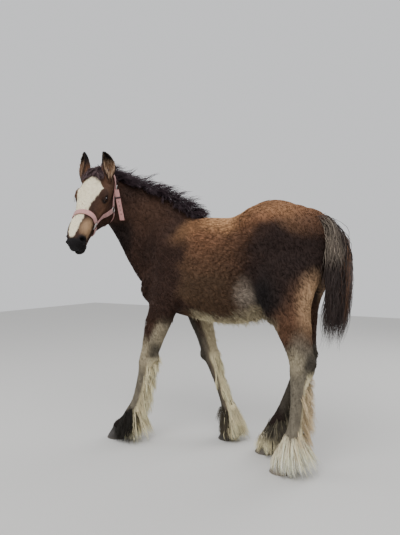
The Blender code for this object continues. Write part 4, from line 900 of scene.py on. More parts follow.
def tuftPiece(name, item, count, weigh, size, wrap, slot, clumps=0, gather=0.0):
    # short tufts that lie along the coat: root, a raised middle and a tip; tips are drawn towards their clump's own
    p, normals = scatter(item, count, weigh)
    way = flow(p, normals)
    length, width, lift = size(p)
    length = length * rng.uniform(0.75, 1.25, count)
    way = unit(way + np.cross(normals, way) * rng.normal(0, 0.16, count)[:, None])
    reach = way * length[:, None]
    rise = normals * (length * lift)[:, None]
    paths = np.stack([p - normals * 0.0012, p + reach * 0.5 + rise * 0.62, p + reach + rise * 0.55], 1)
    tint = coatColour(p) * (1 + rng.normal(0, 0.08, count))[:, None] * (1 + 0.12 * waves(p, 0.022, 12))[:, None]
    if clumps:
        clump = nearestOf(p, p[:clumps])
        aim = paths[clump, 2] + rise[clump] * 0.5
        drawn = gather * rng.uniform(0.6, 1.2, count)[:, None]
        paths[:, 2] += (aim - paths[:, 2]) * drawn
        paths[:, 1] += (aim - reach[clump] * 0.5 - paths[:, 1]) * drawn * 0.6
        tint = tint * np.exp(rng.normal(0, 0.11, clumps))[clump][:, None]
    colours = np.clip(tint[:, None] * np.array((1.0, 1.06, 1.18))[:, None], 0.003, 0.9)
    tuftFinish.on(strandPiece(name, paths, width, normals, colours, wrap(p), sides=3, flat=0.6, taper=0.7), slot)


# Finishes.


def hairFinish(name, roughness, strength, scale, stretch):
    # the painted colour with fine streaks, and a bump of streaks at the same scale
    finish = Finish(name, roughness, Specular_IOR_Level=0.16)
    streak = (finish.noise(scale, 3.0, stretch) - 0.5) * 2.4 + 0.5
    shade = finish.blend(streak, (0.66, 0.66, 0.66), (1.3, 1.3, 1.3))
    finish.put("Base Color", finish.blend(0.6, finish.painted(), shade, "MULTIPLY"))
    finish.bump(streak, strength, 0.0012)
    return finish


skinFinish = hairFinish("short coat", 0.74, 0.4, 640.0, (0.22, 1.0, 0.35))
tuftFinish = hairFinish("coat tufts", 0.66, 0.1, 300.0, (1.0, 1.0, 0.5))
lockFinish = hairFinish("long hair", 0.52, 0.12, 500.0, (1.0, 1.0, 0.15))

body = bodySkin()
print("body skin", len(body.data.polygons), "faces")
face = headSkin()
print("head skin", len(face.data.polygons), "faces")


# The coat of the trunk, neck, legs and head.


def trunkSize(p):
    # length, width and lift of the tufts
    x, _, z = p.T
    barrel = soften(x, -0.16, -0.06) * soften(x, 0.24, 0.14)
    belly = soften(z, 0.62, 0.56)
    breast = soften(x, -0.27, -0.36) * soften(z, 0.98, 0.84)
    length = 0.017 + 0.008 * barrel + 0.008 * belly + 0.009 * breast
    return length, 0.0016 + 0.0003 * barrel, 0.085 + 0.075 * barrel + 0.06 * belly + 0.14 * breast


def legSize(p):
    high = soften(p[:, 2], 0.3, 0.55)
    chest = soften(p[:, 0], -0.25, -0.31) * soften(p[:, 2], 0.42, 0.5)
    return 0.0095 + 0.007 * high + 0.01 * chest, 0.0012 + 0.0003 * high, 0.09 + 0.05 * high + 0.16 * chest


def faceSize(p):
    q = headPoints(p)
    fine = soften(q[:, 0], 0.22, 0.34)
    jaw = soften(-q[:, 2], 0.12, 0.18)
    return 0.0078 - 0.0036 * fine + 0.004 * jaw, 0.001 - 0.0003 * fine, 0.065 + 0.05 * jaw


def neckShare(p):
    return soften(pastShoulder(p), 0.0, 0.001) * (p[:, 2] > 0.6)


def onTrunk(low, high):
    return lambda p: (1 - neckShare(p)) * (p[:, 2] > 0.56) * (p[:, 0] >= low) * (p[:, 0] < high)


def onLegs(low, high):
    return lambda p: (p[:, 2] > low) * (p[:, 2] <= high)


def onNeck(p):
    return neckShare(p) * (inHead(p) < 0.75)


def onFace(p):
    # no tufts in the nostrils, on the eyes' rims or between the lips
    q = headPoints(p)
    clear = 1 - 0.8 * soften(q[:, 0], 0.36, 0.385)
    for side in (-1, 1):
        clear *= 1 - patch(q, headPoints(eyeCentre(side)), (0.022, 0.03, 0.015), 0.1)
        clear *= 1 - patch(q, np.array(head["nostril"]) * (1, side, 1), (0.014, 0.02, 0.018), 0.1)
    return clear * (inHead(p) > 0.3)


coat = {
    # skin, tufts, where they stand, their size, their map, slot, clumps and how much each clump gathers
    "coatShoulder": (body, 11500, onTrunk(-0.6, -0.12), trunkSize, wrapTrunk, "bay_coat", 1500, 0.3),
    "coatBarrel": (body, 16500, onTrunk(-0.12, 0.19), trunkSize, wrapTrunk, "bay_coat", 1500, 0.5),
    "coatHaunch": (body, 13500, onTrunk(0.19, 0.6), trunkSize, wrapTrunk, "bay_coat", 1900, 0.22),
    "coatNeck": (body, 11500, onNeck, trunkSize, wrapTrunk, "dark_coat", 1600, 0.22),
    "coatUpperLegs": (body, 9000, onLegs(0.4, 0.58), legSize, wrapLegs, "bay_coat"),
    "coatLowerLegs": (body, 9500, onLegs(0.055, 0.41), legSize, wrapLegs, "feather_hair"),
    "coatHead": (face, 14500, onFace, faceSize, wrapHead, "face_coat"),
}

# Long hair: clumps of strands that gather towards their tips.


def gatheredPaths(lines, count, spread, gather, jitter, shortest=0.72):
    # around each clump's line (k stations) count strands:
    # line + offset * (1 - gather * t) + bend * t^1.5 + a small wave
    n, k, _ = lines.shape
    t = np.linspace(0, 1, k)
    offset = rng.normal(0, 1, (n, count, 1, 3)) * spread
    bend = rng.normal(0, 1, (n, count, 1, 3)) * jitter * (t**1.5)[:, None]
    wave = jitter * 0.6 * np.sin(t * rng.uniform(4, 9, (n, count, 1)) + rng.uniform(0, 6, (n, count, 1)))
    paths = lines[:, None] + offset * (1 - gather * t)[:, None] + bend
    paths = paths + (wave * (t > 0))[..., None] * rng.normal(0, 1, (n, count, 1, 3))
    # each strand ends at a part of the way
    at = np.clip(rng.uniform(shortest, 1.0, (n, count, 1)) * t * (k - 1), 0, k - 1.001)
    low = at.astype(int)[..., None]
    first, second = (np.take_along_axis(paths, (low + step).repeat(3, -1), 2) for step in (0, 1))
    return (first + (second - first) * (at[..., None] - low)).reshape(n * count, k, 3)


def fallingLines(root, start, finish, length, k=7):
    # root + length * (start * (t - t^2 / 2) + finish * t^2 / 2)
    t = np.linspace(0, 1, k)[:, None]
    bent = unit(start)[:, None] * (t - t**2 / 2) + unit(finish)[:, None] * t**2 / 2
    return root[:, None] + length[:, None, None] * bent


def treeOf(item):
    def work(bm):
        bmesh.ops.triangulate(bm, faces=bm.faces)
        return BVHTree.FromBMesh(bm)

    return edited(None, work, item.data)


def dropOn(tree, places, way, reach=0.25):
    # where rays from places hit, one by one; a miss keeps its place and is marked
    ways = np.broadcast_to(way, places.shape)
    found = [tree.ray_cast(Vector(p), Vector(w), reach)[0] for p, w in zip(places, ways)]
    hit = np.array([f is not None for f in found])
    return np.array([f if f is not None else p for f, p in zip(found, places)]), hit


def longHair(name, paths, width, facing, colour, roots, slot, sides=3, variation=0.22):
    # colour is a named paint, or a colour for each strand or each of its stations; tips are a little lighter
    n, k, _ = paths.shape
    tint = plain(colour, paths) if isinstance(colour, str) else colour
    tint = tint if tint.ndim == 3 else tint[:, None]
    tint = tint * np.exp(rng.normal(0, variation, n))[:, None, None]
    colours = np.clip(tint * np.linspace(0.8, 1.25, k)[:, None], 0.003, 0.88)
    widths = width * rng.uniform(0.7, 1.3, n)
    roots = np.clip(roots + rng.normal(0, 0.002, roots.shape), 0, 1)
    lockFinish.on(strandPiece(name, paths, widths, facing, colours, roots, sides, flat=0.55), slot)


def locks(name, sizes, lines, facing, colour, roots, slot, **more):
    # strands round each lock's line, kept inside a box where the sizes give one; colour may be worked out from them
    count = sizes["strands"]
    paths = gatheredPaths(lines, count, *sizes["bunch"])
    if "inside" in sizes:
        paths = np.clip(paths, *sizes["inside"])
    facing = np.broadcast_to(facing, (len(lines), 3)).repeat(count, 0)
    tint = colour if isinstance(colour, str) else colour(paths, facing)
    longHair(name, paths, sizes["width"], facing, tint, roots.repeat(count, 0), slot, **more)


mane = {"clumps": 330, "strands": 8, "lengths": (0.078, 0.14), "width": 0.0015, "bunch": (0.0056, 0.18, 0.004)}


def manePiece():
    # roots across the crest; the middle ones stand, the near ones lie down the neck's left side
    run = catmull(np.array([row[0] for row in neck]), 10)
    n = mane["clumps"]
    share = np.sort(rng.uniform(0, 1, n))
    at = (0.12 + 0.86 * share) * (len(run) - 1)
    forward = unit(sampled(unit(np.gradient(run, axis=0)), at))
    up = np.array((0, 0, 1.0))
    left = unit(np.cross(up, forward))
    across = rng.uniform(-0.8, 1.0, n)
    root, hit = dropOn(tree, sampled(run, at) + left * (across * 0.021)[:, None] + up * 0.08, -up)
    forward, left, share, across, root = (v[hit] for v in (forward, left, share, across, root))
    n = len(root)
    lie = (across * 0.95 + rng.normal(0.2, 0.22, n))[:, None] * (0.55 + 0.45 * np.sin(math.pi * share))[:, None]
    start = left * lie * 0.95 + up * (0.95 - 0.3 * abs(lie)) - forward * 0.56
    finish = left * lie * 0.75 + up * (0.2 - 1.4 * abs(lie) + rng.normal(0, 0.12, (n, 1)))
    finish = finish - forward * rng.uniform(0.55, 1.0, (n, 1))
    length = rng.uniform(*mane["lengths"], n) * np.interp(share, (0, 0.12, 0.8, 1), (0.62, 1.0, 1.0, 0.75))
    lines = fallingLines(root - up * 0.004, start, finish, length)
    locks("mane", mane, lines, left * 0.6 + up * 0.8, "mane", wrapTrunk(root), "dark_coat")


forelock = {"front": 84, "rear": 70, "strands": 8, "lengths": (0.044, 0.08), "width": 0.0015,
            "bunch": (0.0042, 0.4, 0.0045)}


def forelockPiece():
    # tousled locks from the poll: the front ones fall over the brow, the rear ones lie forwards over the crown strap
    n, rear, down = forelock["front"], forelock["rear"], headTurn @ (0, 0, -1)
    side = rng.uniform(-1, 1, n)
    back = rng.uniform(0, 1, n)
    places = fromHead(np.stack([0.04 - 0.072 * back, 0.03 * side, np.full(n, 0.09)], 1))
    root, hit = dropOn(faceTree, places, down)
    high = np.stack([rng.uniform(-0.062, -0.043, rear), rng.uniform(-0.038, 0.038, rear), np.full(rear, 0.09)], 1)
    high = fromHead(high)
    # the rear ones stand on whichever skin is higher there
    (far, hitFar), (near, hitNear) = dropOn(tree, high, down), dropOn(faceTree, high, down)
    nearer = hitNear & (~hitFar | (np.linalg.norm(near - high, axis=1) < np.linalg.norm(far - high, axis=1)))
    rearRoot = np.where(nearer[:, None], near, far)[hitFar | hitNear]
    side = np.r_[side[hit], headPoints(rearRoot)[:, 1] / 0.038]
    back, root = np.r_[back[hit], np.ones(len(rearRoot))], np.vstack([root[hit], rearRoot])
    n = len(root)
    behind = np.arange(n) >= hit.sum()
    start = np.stack([0.6 - 0.35 * back, 0.4 * side, 0.75 + 0.35 * back], 1) + rng.normal(0, 0.16, (n, 3))
    finish = np.stack([0.95 - 0.1 * back, 0.55 * side, -0.3 + 0.1 * back], 1) + rng.normal(0, 0.28, (n, 3))
    length = rng.uniform(*forelock["lengths"], n) * (1 - 0.15 * back + 0.3 * behind)
    lines = fallingLines(root - headTurn @ (0, 0, 0.003), start @ headTurn.T, finish @ headTurn.T, length)
    locks("forelock", forelock, lines, headTurn @ (-0.1, 0, 1), "forelock", wrapHead(root), "face_coat", sides=4)


tail = {
    "spine": ((0.415, 0, 0.968), (0.462, 0, 0.968), (0.504, -0.002, 0.905), (0.526, -0.004, 0.81),
              (0.524, -0.006, 0.7), (0.512, -0.008, 0.58), (0.494, -0.01, 0.462)),
    # spread to the sides and to the rear by the share of the length
    "shares": (0.1, 0.3, 0.55, 0.85, 1.0), "wide": (0.024, 0.06, 0.066, 0.056, 0.03),
    "deep": (0.014, 0.027, 0.029, 0.024, 0.012),
    "clumps": 120, "stations": 17, "strands": 12, "width": 0.0017, "bunch": (0.0064, 0.42, 0.01, 0.78),
    "inside": ((-9, -9, -9), (0.5535, 9, 9)),
    # stations of the fleshy root, how many of them stand upright, and the first and last radius
    "dock": (20, 8, 0.021, 0.008),
}


def tailTint(paths, _):
    # ashen hair on the upper left, a rusty tinge at the rear edge
    n, k, _ = paths.shape
    x, y, z = paths.reshape(-1, 3).T
    chosen = np.repeat(rng.uniform(0.35, 0.95, n), k)
    ash = soften(z, 0.765, 0.85) * soften(-y - 0.5 * (x - 0.5), 0.004, 0.04) * chosen
    rust = np.repeat(rng.random(n) < 0.35, k) * soften(x, 0.53, 0.55) * 0.8
    return over(plain("tail", x), ("ash", ash), ("bay", rust)).reshape(-1, k, 3)


def tailPiece():
    # wavy locks round the spine, each turned on from the last by the golden angle
    spine = catmull(tail["spine"], 6)
    n, k = tail["clumps"], tail["stations"]
    turn = 2.399 * np.arange(n) + rng.uniform(-0.3, 0.3, n)
    begin = 0.09 + 0.34 * rng.random(n) ** 1.2
    end = rng.uniform(0.78, 1.0, n) ** 0.7
    t = np.linspace(0, 1, k)
    at = begin[:, None] + (end - begin)[:, None] * t
    away = np.minimum(1, t * 3.6) ** 0.7 * rng.uniform(0.35, 1.0, (n, 1)) ** 0.5
    wide, deep = (np.interp(at, tail["shares"], tail[key]) for key in ("wide", "deep"))
    wave, sway = (size * np.sin(t * 21 * rng.uniform(0.75, 1.25, (n, 1)) + rng.uniform(0, 6.3, (n, 1)))
                  for size in (0.0105, 0.0075))
    lines = sampled(spine, at * (len(spine) - 1))
    lines[..., 0] += (deep * np.sin(turn)[:, None] + sway) * away
    lines[..., 1] += (wide * np.cos(turn)[:, None] + wave) * away
    # the left side spreads over the buttock
    toLeft = np.maximum(0, -np.cos(turn))[:, None] * away * soften(-lines[..., 2], -0.93, -0.8)
    lines += toLeft[..., None] * np.array((-0.026, -0.026, 0))
    facing = np.stack([np.sin(turn) + 0.3, np.cos(turn), 0 * turn], 1)
    roots = np.stack([turn / 6.2832 % 1, begin * 2], 1)
    locks("tailHair", tail, lines, facing, tailTint, roots, "tail_hair", variation=0.3)


def dockPiece():
    # the tail's fleshy root: round stations that turn from upright to level
    count, upright, first, last = tail["dock"]
    spine = catmull(tail["spine"], 6)[:count]
    stations = [(*p, r * 0.3, 0, r, 0, r, 0) if i < upright else (*p, r, 0, 0, 0, r, 0)
                for i, (p, r) in enumerate(zip(spine, np.linspace(first, last, count)))]
    core = loft(stations, sides=20, steps=1)
    spots = pointsOf(core.data)
    core.name = core.data.name = "dock"
    dressed(core, over(plain("darkBay", spots), ("tail", soften(-spots[:, 2], -0.93, -0.86))), skinFinish, "tail_hair")


fringe = {"clumps": 420, "strands": 5, "lengths": (0.024, 0.05), "width": 0.001, "bunch": (0.005, 0.3, 0.0035)}


def bellyPiece():
    # soft pale hair that hangs from the belly's lower edge, longest at the flank
    n = fringe["clumps"]
    x = rng.uniform(-0.13, 0.27, n)
    flank = soften(x, 0.08, 0.2)
    side = np.where(rng.random(n) < 0.5, -1.0, 1.0)
    down = np.radians(rng.uniform(4, 56, n) * (1 - 0.2 * flank))
    out = np.stack([0 * x, np.sin(down) * side, -np.cos(down)], 1)
    root, hit = dropOn(tree, np.stack([x, 0 * x, 0 * x + 0.7], 1) + out * 0.3, -out, 0.3)
    out, flank, root = out[hit], flank[hit], root[hit]
    n = len(root)
    low = soften(root[:, 2], 0.61, 0.54)
    lie = np.stack([0 * low + 0.75, 0.1 * np.sign(out[:, 1]), 0 * low - 0.65], 1)
    start = out * 0.16 + lie + rng.normal(0, 0.1, (n, 3))
    finish = out * 0.05 + mixed(lie, np.array((0.45, 0, -1.0)), low) + rng.normal(0, 0.12, (n, 3))
    length = rng.uniform(*fringe["lengths"], n) * (0.7 + 0.5 * flank) * (0.55 + 0.45 * low)
    lines = fallingLines(root - out * 0.002, start, finish, length, k=5)
    locks("bellyFringe", fringe, lines, out,
          lambda paths, _: over(coatColour(paths[:, 0]), ("cream", 0.8 * low.repeat(fringe["strands"]))),
          wrapTrunk(root), "bay_coat")


feather = {
    "strands": 8, "lengths": (0.075, 0.125), "width": 0.0013, "bunch": (0.0046, 0.42, 0.004),
    "inside": ((-9, -9, 0.0045), (9, 9, 9)),
    # for each leg: locks down the cannon (count, middle angle, spread, top), locks over the hoof (count, first and
    # last angle), in degrees from straight behind and turning to the right, and the locks' lean backwards
    "fore_left": ((96, 22, 25, 0.4), (140, -150, 150), 0.12),
    "fore_right": ((96, 10, 30, 0.4), (136, -160, 150), 0.36),
    "hind_left": ((96, 24, 22, 0.38), (150, -180, 180), 0.42),
    "hind_right": ((56, 10, 34, 0.33), (110, -180, 180), 0.1),
}


def featherTint(leg, paths, out):
    # the share of cream strands differs from leg to leg
    n, k, _ = paths.shape
    chance = rng.random(n)
    z, back, right = paths[:, 0, 2], out[:, 0], out[:, 1]
    cream = plain("cream", paths)
    if leg == "fore_left":
        dark = soften(back + 0.35 * right, 0.75, 0.25) * (z < 0.16) * 0.98 + 0.03
        return over(cream, ("black", (chance < dark) * 0.985))
    if leg == "fore_right":
        dark = soften(back + 0.2 * right, 0.35, -0.25) * (z < 0.16) * 0.95 + 0.06
        return over(cream, ("nearBlack", (chance < dark) * 0.92))
    if leg == "hind_left":
        return 1.15 * over(cream, ("tan", soften(back, 0.3, 0.9) * soften(z, 0.1, 0.16) * 0.55),
                           ("white", (z < 0.15) * 0.9), ("grey", (chance < 0.08) * 0.5))
    grizzle = over(cream, ("darkGrey", 0.78 + 0.2 * (chance < 0.8))).repeat(k, 0)
    tips = soften(paths[..., 2], 0.085, 0.045) * soften(back + 0.5 * right, 0.1, -0.45)[:, None]
    return over(grizzle, ("cream", tips.ravel() * 0.95)).reshape(n, k, 3)


def featherPiece(leg):
    # locks down the back of the cannon and all round over the hoof, shorter in front and above
    (cannon, middle, spread, top), (count, first, last), lean = feather[leg]
    z = np.r_[rng.uniform(0.14, top, cannon), rng.uniform(0.07, 0.15, count)]
    turn = np.radians(np.r_[rng.normal(middle, spread, cannon), rng.uniform(first, last, count)])
    out = np.stack([np.cos(turn), np.sin(turn), 0 * turn], 1)
    root, hit = dropOn(tree, np.c_[legCore(leg, z), z] + out * 0.09, -out)
    z, out, root = z[hit], out[hit], root[hit]
    n = len(z)
    low = (z < 0.15)[:, None]
    down = np.array((0, 0, -1.0))
    start = np.where(low, out * 0.5, out * 0.42) + down * 0.85 + rng.normal(0, 0.06, (n, 3))
    finish = np.where(low, out * 0.28, out * 0.02) + down + (lean, 0, 0) + rng.normal(0, 0.05, (n, 3))
    short = (0.35 if leg.startswith("fore") else 0.1) * soften(out[:, 0], 0.2, -0.5)
    length = (rng.uniform(*feather["lengths"], n) + 0.03 * low[:, 0]) * (1 - short)
    length = np.minimum(length, (root[:, 2] - feather["inside"][0][2]) * 1.15)
    length = length * np.interp(z, (0.15, 0.28, 0.4), (1, 0.95, 0.42))
    lines = fallingLines(root - out * 0.003, start, finish, length, k=6)
    locks(camel("feather_" + leg), feather, lines, out, lambda paths, facing: featherTint(leg, paths, facing),
          wrapLegs(root), "feather_hair", sides=4, variation=0.14)


# Ears.

ear = {
    "length": 0.116, "wall": 0.003, "hairs": 900, "tufts": 1500,
    # share of the length, radius, half-angle of the wall in degrees, lean outwards (below 0 it leans to the inside)
    "rows": ((-0.1, 0.02, 172, 0), (0.08, 0.0225, 158, 0), (0.28, 0.028, 126, 0.002), (0.5, 0.029, 106, 0.002),
             (0.72, 0.0242, 94, -0.003), (0.86, 0.0165, 86, -0.01), (0.935, 0.009, 82, -0.017),
             (0.965, 0.0035, 80, -0.021)),
}


def earAxes(side):
    # the root, and the ways along the ear, out of its opening and across it
    axis = unit(headTurn @ (-0.62, side * 0.07, 0.8))
    opening = headTurn @ (0.62, side * 0.75, 0.4)
    opening = unit(opening - (opening @ axis) * axis)
    across = np.cross(axis, opening)
    return np.array(onHead(0.036, side * 0.054, -0.02)), axis, opening, across * np.sign(across @ headTurn[:, 1] * side)


def onEar(side, rows, turn, inset):
    # points root + axis * length * share + across * lean + ray * (radius - inset), and their rays, which are
    # across * sin - opening * cos of a part of the half-angle
    root, axis, opening, across = earAxes(side)
    share, radius, wide, lean = np.moveaxis(rows, -1, 0)[..., None]
    turn = np.radians(wide[..., 0] * turn)[..., None]
    ray = across * np.sin(turn) - opening * np.cos(turn)
    return root + axis * (ear["length"] * share) + across * lean + ray * (radius - inset), ray


def earMap(share, angle):
    return np.stack([angle / 2 + 0.5, np.clip(share, 0, 1)], 1)


def earPiece(side, hand):
    # a cupped leaf: once round each row, along the outer wall and back along the inner one, closed at the root
    root, axis, opening, _ = earAxes(side)
    rows = catmull(ear["rows"], 6)
    t = np.linspace(-1, 1, 31)
    wall = np.minimum(ear["wall"], rows[:, 1] * 0.5)[:, None, None] * (1 - 0.5 * t**6)[:, None]
    outer, inner = (onEar(side, rows[:, None], t, inset)[0] for inset in (0, wall))
    made = ringSurface(camel("ear_" + hand), np.concatenate([outer, inner[:, ::-1]], 1))
    spots = pointsOf(made.data)
    high = (spots - root) @ axis / ear["length"]
    rim = np.r_[np.tile(np.r_[abs(t), abs(t)], len(rows)), 0, 0] > 0.86
    inside = np.r_[np.tile(np.repeat((0, 1), len(t)), len(rows)), 0, 0] * (1 - rim)
    tone = over(plain("darkBay", spots), ("chestnut", 0.55 * soften(high, 0.62, 0.3)),
                ("black", soften(high, 0.45, 0.8)), ("black", rim * 0.8),
                ("tan", inside * 0.45 * soften(high, 0.8, 0.5)))
    dressed(made, tone, skinFinish, "dark_coat")
    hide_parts("ear_" + hand)
    # hair inside the cup and along its edges
    n = ear["hairs"]
    place = sampled(rows, rng.uniform(0.06, 0.84, n) * (len(rows) - 1))
    share = place[:, 0]
    onEdge = rng.random(n) < 0.6
    angle = np.where(onEdge, np.sign(rng.normal(size=n)) * rng.uniform(0.72, 0.99, n), rng.uniform(-0.7, 0.7, n))
    start, ray = onEar(side, place, angle, ear["wall"] * 0.8)
    reach = axis * 0.9 + opening * 0.45 - ray * 0.35
    length = rng.uniform(0.013, 0.029, n) * (1.15 - 0.95 * share)
    lines = fallingLines(start, reach + rng.normal(0, 0.12, (n, 3)), axis + opening * 0.1 - ray * 0.1, length, k=4)
    # the right ear's inner hair takes far less of the light earHair paint than the left's: painted shade, the
    # forelock's shadow in that ear
    tint = over(plain("bay", place), ("earHair", (rng.random(n) < 0.78) * (1.0 if side > 0 else 0.35)),
                ("black", soften(share, 0.45, 0.75) * 0.8))
    longHair("earHair" + hand.title(), lines, 0.001, -ray, tint, earMap(share, angle), "dark_coat")
    # short coat on the ear's back
    n = ear["tufts"]
    place = sampled(rows, rng.uniform(0.14, 0.97, n) * (len(rows) - 1))
    share = place[:, 0]
    angle = rng.uniform(-0.98, 0.98, n)
    start, ray = onEar(side, place, angle, 0.0004)
    reach = (axis + ray * 0.12) * rng.uniform(0.0045, 0.008, n)[:, None]
    lines = start[:, None] + np.array((0, 0.5, 1.0))[:, None] * reach[:, None]
    tint = over(plain("darkBay", place), ("chestnut", 0.6 * soften(share, 0.62, 0.3)),
                ("black", soften(share, 0.5, 0.8) + (abs(angle) > 0.9)))
    longHair("earCoat" + hand.title(), lines, 0.0008, ray, tint, earMap(share, angle), "dark_coat")


# Eyes.

eye = {"ball": (0.022, 0.015, 0.012), "iris": (0.034, 0.015, 0.007), "pupil": (0.004, 0.004, 0.006), "lashes": 34}
eyeFinish = Finish("moist eye", 0.05, Coat_Weight=0.25, Coat_Roughness=0.02, Specular_IOR_Level=0.28)
eyeFinish.put("Base Color", eyeFinish.painted())


def eyePiece(side, hand):
    # a ball, a little flat in front, with its dark iris and level slot of a pupil painted by direction
    out, long, tall = eyeAxes(side)
    centre = eyeCentre(side)
    v, u = np.meshgrid(np.linspace(0, math.pi, 41)[1:-1], around(64), indexing="ij")
    v, u = v[..., None], u[..., None]
    ball = np.cos(v) * out + np.sin(v) * (np.cos(u) * long + np.sin(u) * tall)
    rings = centre + ball * (head["eyeRadius"] - 0.0006) * (1 - 0.05 * bell(v, 0, 0.5))
    made = ringSurface("eyeball" + hand.title(), rings)
    way = unit(pointsOf(made.data) - centre)
    a, b = way @ long, way @ tall
    ball, iris, pupil = (np.array(eye[key]) for key in ("ball", "iris", "pupil"))
    tone = mixed(ball, iris, soften(np.hypot(a, b), 0.74, 0.66))
    tone = mixed(tone, pupil, soften(np.hypot(a / 0.34, b / 0.19), 1.1, 0.85))
    dressed(made, tone, eyeFinish, "eye")
    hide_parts("eye_" + hand)
    # lashes along the upper lid
    n = eye["lashes"]
    turn = np.linspace(0.45, 2.6, n)
    reach = out * 0.9 + np.outer(np.cos(turn), long) * 0.5 - tall * 0.25
    start, finish = reach + rng.normal(0, 0.08, (n, 3)), reach * 0.5 + tall * 0.15
    lines = fallingLines(lidLine(side, turn, 0.66, 1.22), start, finish, rng.uniform(0.005, 0.009, n), k=4)
    roots = np.stack([np.linspace(0.1, 0.9, n), np.full(n, 0.5)], 1)
    longHair("lashes" + hand.title(), lines, 0.00036, np.tile(tall, (n, 1)), "black", roots, "face_coat")


# Hooves.

hoof = {
    # share of the height, shift backwards, half-length and half-width
    "rows": ((0, 0, 0.0485, 0.044), (0.1, 0.003, 0.0485, 0.0442), (0.6, 0.021, 0.043, 0.0405),
             (1, 0.033, 0.0395, 0.0385)),
    # height of the upper edge over the middle, and its fall to the rear
    "top": 0.0496, "fall": 0.36,
    # colours of worn horn and of each hoof
    "worn": (0.16, 0.14, 0.11),
    "fore_left": (0.04, 0.034, 0.03), "fore_right": (0.03, 0.026, 0.024),
    "hind_left": (0.2, 0.17, 0.13), "hind_right": (0.09, 0.078, 0.062),
}
hornFinish = Finish("hoof horn", 0.5, Specular_IOR_Level=0.4)
hornShade = hornFinish.blend(hornFinish.noise(160.0, 4.0, (1, 1, 0.15)), (0.5, 0.5, 0.5), (1.4, 1.4, 1.4))
hornFinish.put("Base Color", hornFinish.blend(0.5, hornFinish.painted(), hornShade, "MULTIPLY"))
hornFinish.bump(hornFinish.noise(90.0, 3.0, (0.4, 0.4, 3.0)), 0.35, 0.0008)


def hoofPiece(leg):
    # ovals with faint growth rings, from the sole to the slanting upper edge
    x, y = legs[leg][3]
    long, wide = rounded(around(72))
    share, back, halfLong, halfWide = catmull(hoof["rows"], 14).T[:, :, None]
    ridge = (1 + 0.006 * np.sin(share * 44)) * 0.994
    xs = x + back + halfLong * ridge * long - 0.004 * (1 - wide**2) * (1 - share) * np.sign(long)
    tops = np.maximum(hoof["top"] - (xs - x - 0.03) * hoof["fall"], 0.02)
    rings = np.stack([xs, y + halfWide * ridge * wide, tops * share], -1)
    made = ringSurface(camel("hoof_" + leg), rings)
    spots = pointsOf(made.data)
    z = spots[:, 2]
    tint = np.array(hoof[leg]) * (1 + 0.1 * np.sin(z * 900) + 0.25 * waves(spots, 0.03, 21))[:, None]
    tint = mixed(tint, np.array(hoof["worn"]), 0.35 * soften(z, 0.012, 0.0))
    dressed(made, np.clip(tint, 0.005, 0.8), hornFinish, "hoof_horn")
    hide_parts("hoof_" + leg)


# The halter.


def webbingFinish():
    # two crossing sets of fine bands, stained by noise
    finish = Finish("pink webbing", 0.82, Sheen_Weight=0.25, Specular_IOR_Level=0.2)
    fine, crossing = (
        finish.node("ShaderNodeTexWave", {"wave_type": "BANDS", "bands_direction": way},
                    {"Vector": finish.place(), "Scale": scale, "Distortion": distortion, "Detail": 1.0}, 1)
        for way, scale, distortion in (("DIAGONAL", 240.0, 1.5), ("Z", 260.0, 1.0)))
    weave = fine * 0.5 + crossing * 0.5
    base = finish.blend(weave, (0.4, 0.185, 0.175), (0.62, 0.335, 0.31))
    stained = finish.node("ShaderNodeMapRange", {}, {0: finish.noise(38.0, 5.0), 1: 0.45, 2: 0.75, 3: 0.0, 4: 0.65})
    finish.put("Base Color", finish.blend(stained, base, (0.33, 0.2, 0.17)))
    finish.bump(weave, 0.6, 0.0006)
    return finish


webbing, metal = webbingFinish(), Finish("worn metal", 0.32, Metallic=1.0)
wear = metal.noise(120.0, 4.0)
metal.put("Base Color", metal.blend(wear, (0.42, 0.36, 0.34), (0.75, 0.7, 0.67)))
metal.put("Roughness", wear * 0.3 + 0.2)
dark = Finish("dark keeper", 0.6, Specular_IOR_Level=0.3)
dark.put("Base Color", dark.blend(dark.noise(90.0, 4.0), (0.02, 0.012, 0.014), (0.06, 0.032, 0.034)))


def softStrap(node):
    # the strap's own solid, its doubles merged and its edges rounded
    def work(bm):
        bmesh.ops.remove_doubles(bm, verts=bm.verts, dist=0.00002)
        bmesh.ops.dissolve_limit(bm, angle_limit=math.radians(4), verts=bm.verts, edges=bm.edges)

    mesh = bpy.data.meshes.new(camel(node))
    edited(mesh, work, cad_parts[node].data)
    made = placed(mesh.name, mesh)
    edge = made.modifiers.new("edge", "BEVEL")
    edge.width, edge.segments = 0.0009, 3
    edge.limit_method, edge.angle_limit = "ANGLE", math.radians(50)
    mesh.shade_smooth()
    mesh.set_sharp_from_angle(angle=math.radians(60))
    webbing.on(made, "halter_webbing")
    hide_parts(node)


def ownAxes(node):
    # a solid's points from its middle, the middle, and its three axes from the longest on
    spots = pointsOf(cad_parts[node].data)
    middle = spots.mean(0)
    return spots - middle, middle, np.linalg.svd(spots - middle, full_matrices=False)[2]


ring = {"bar": 0.0024, "tongue": 0.0016}


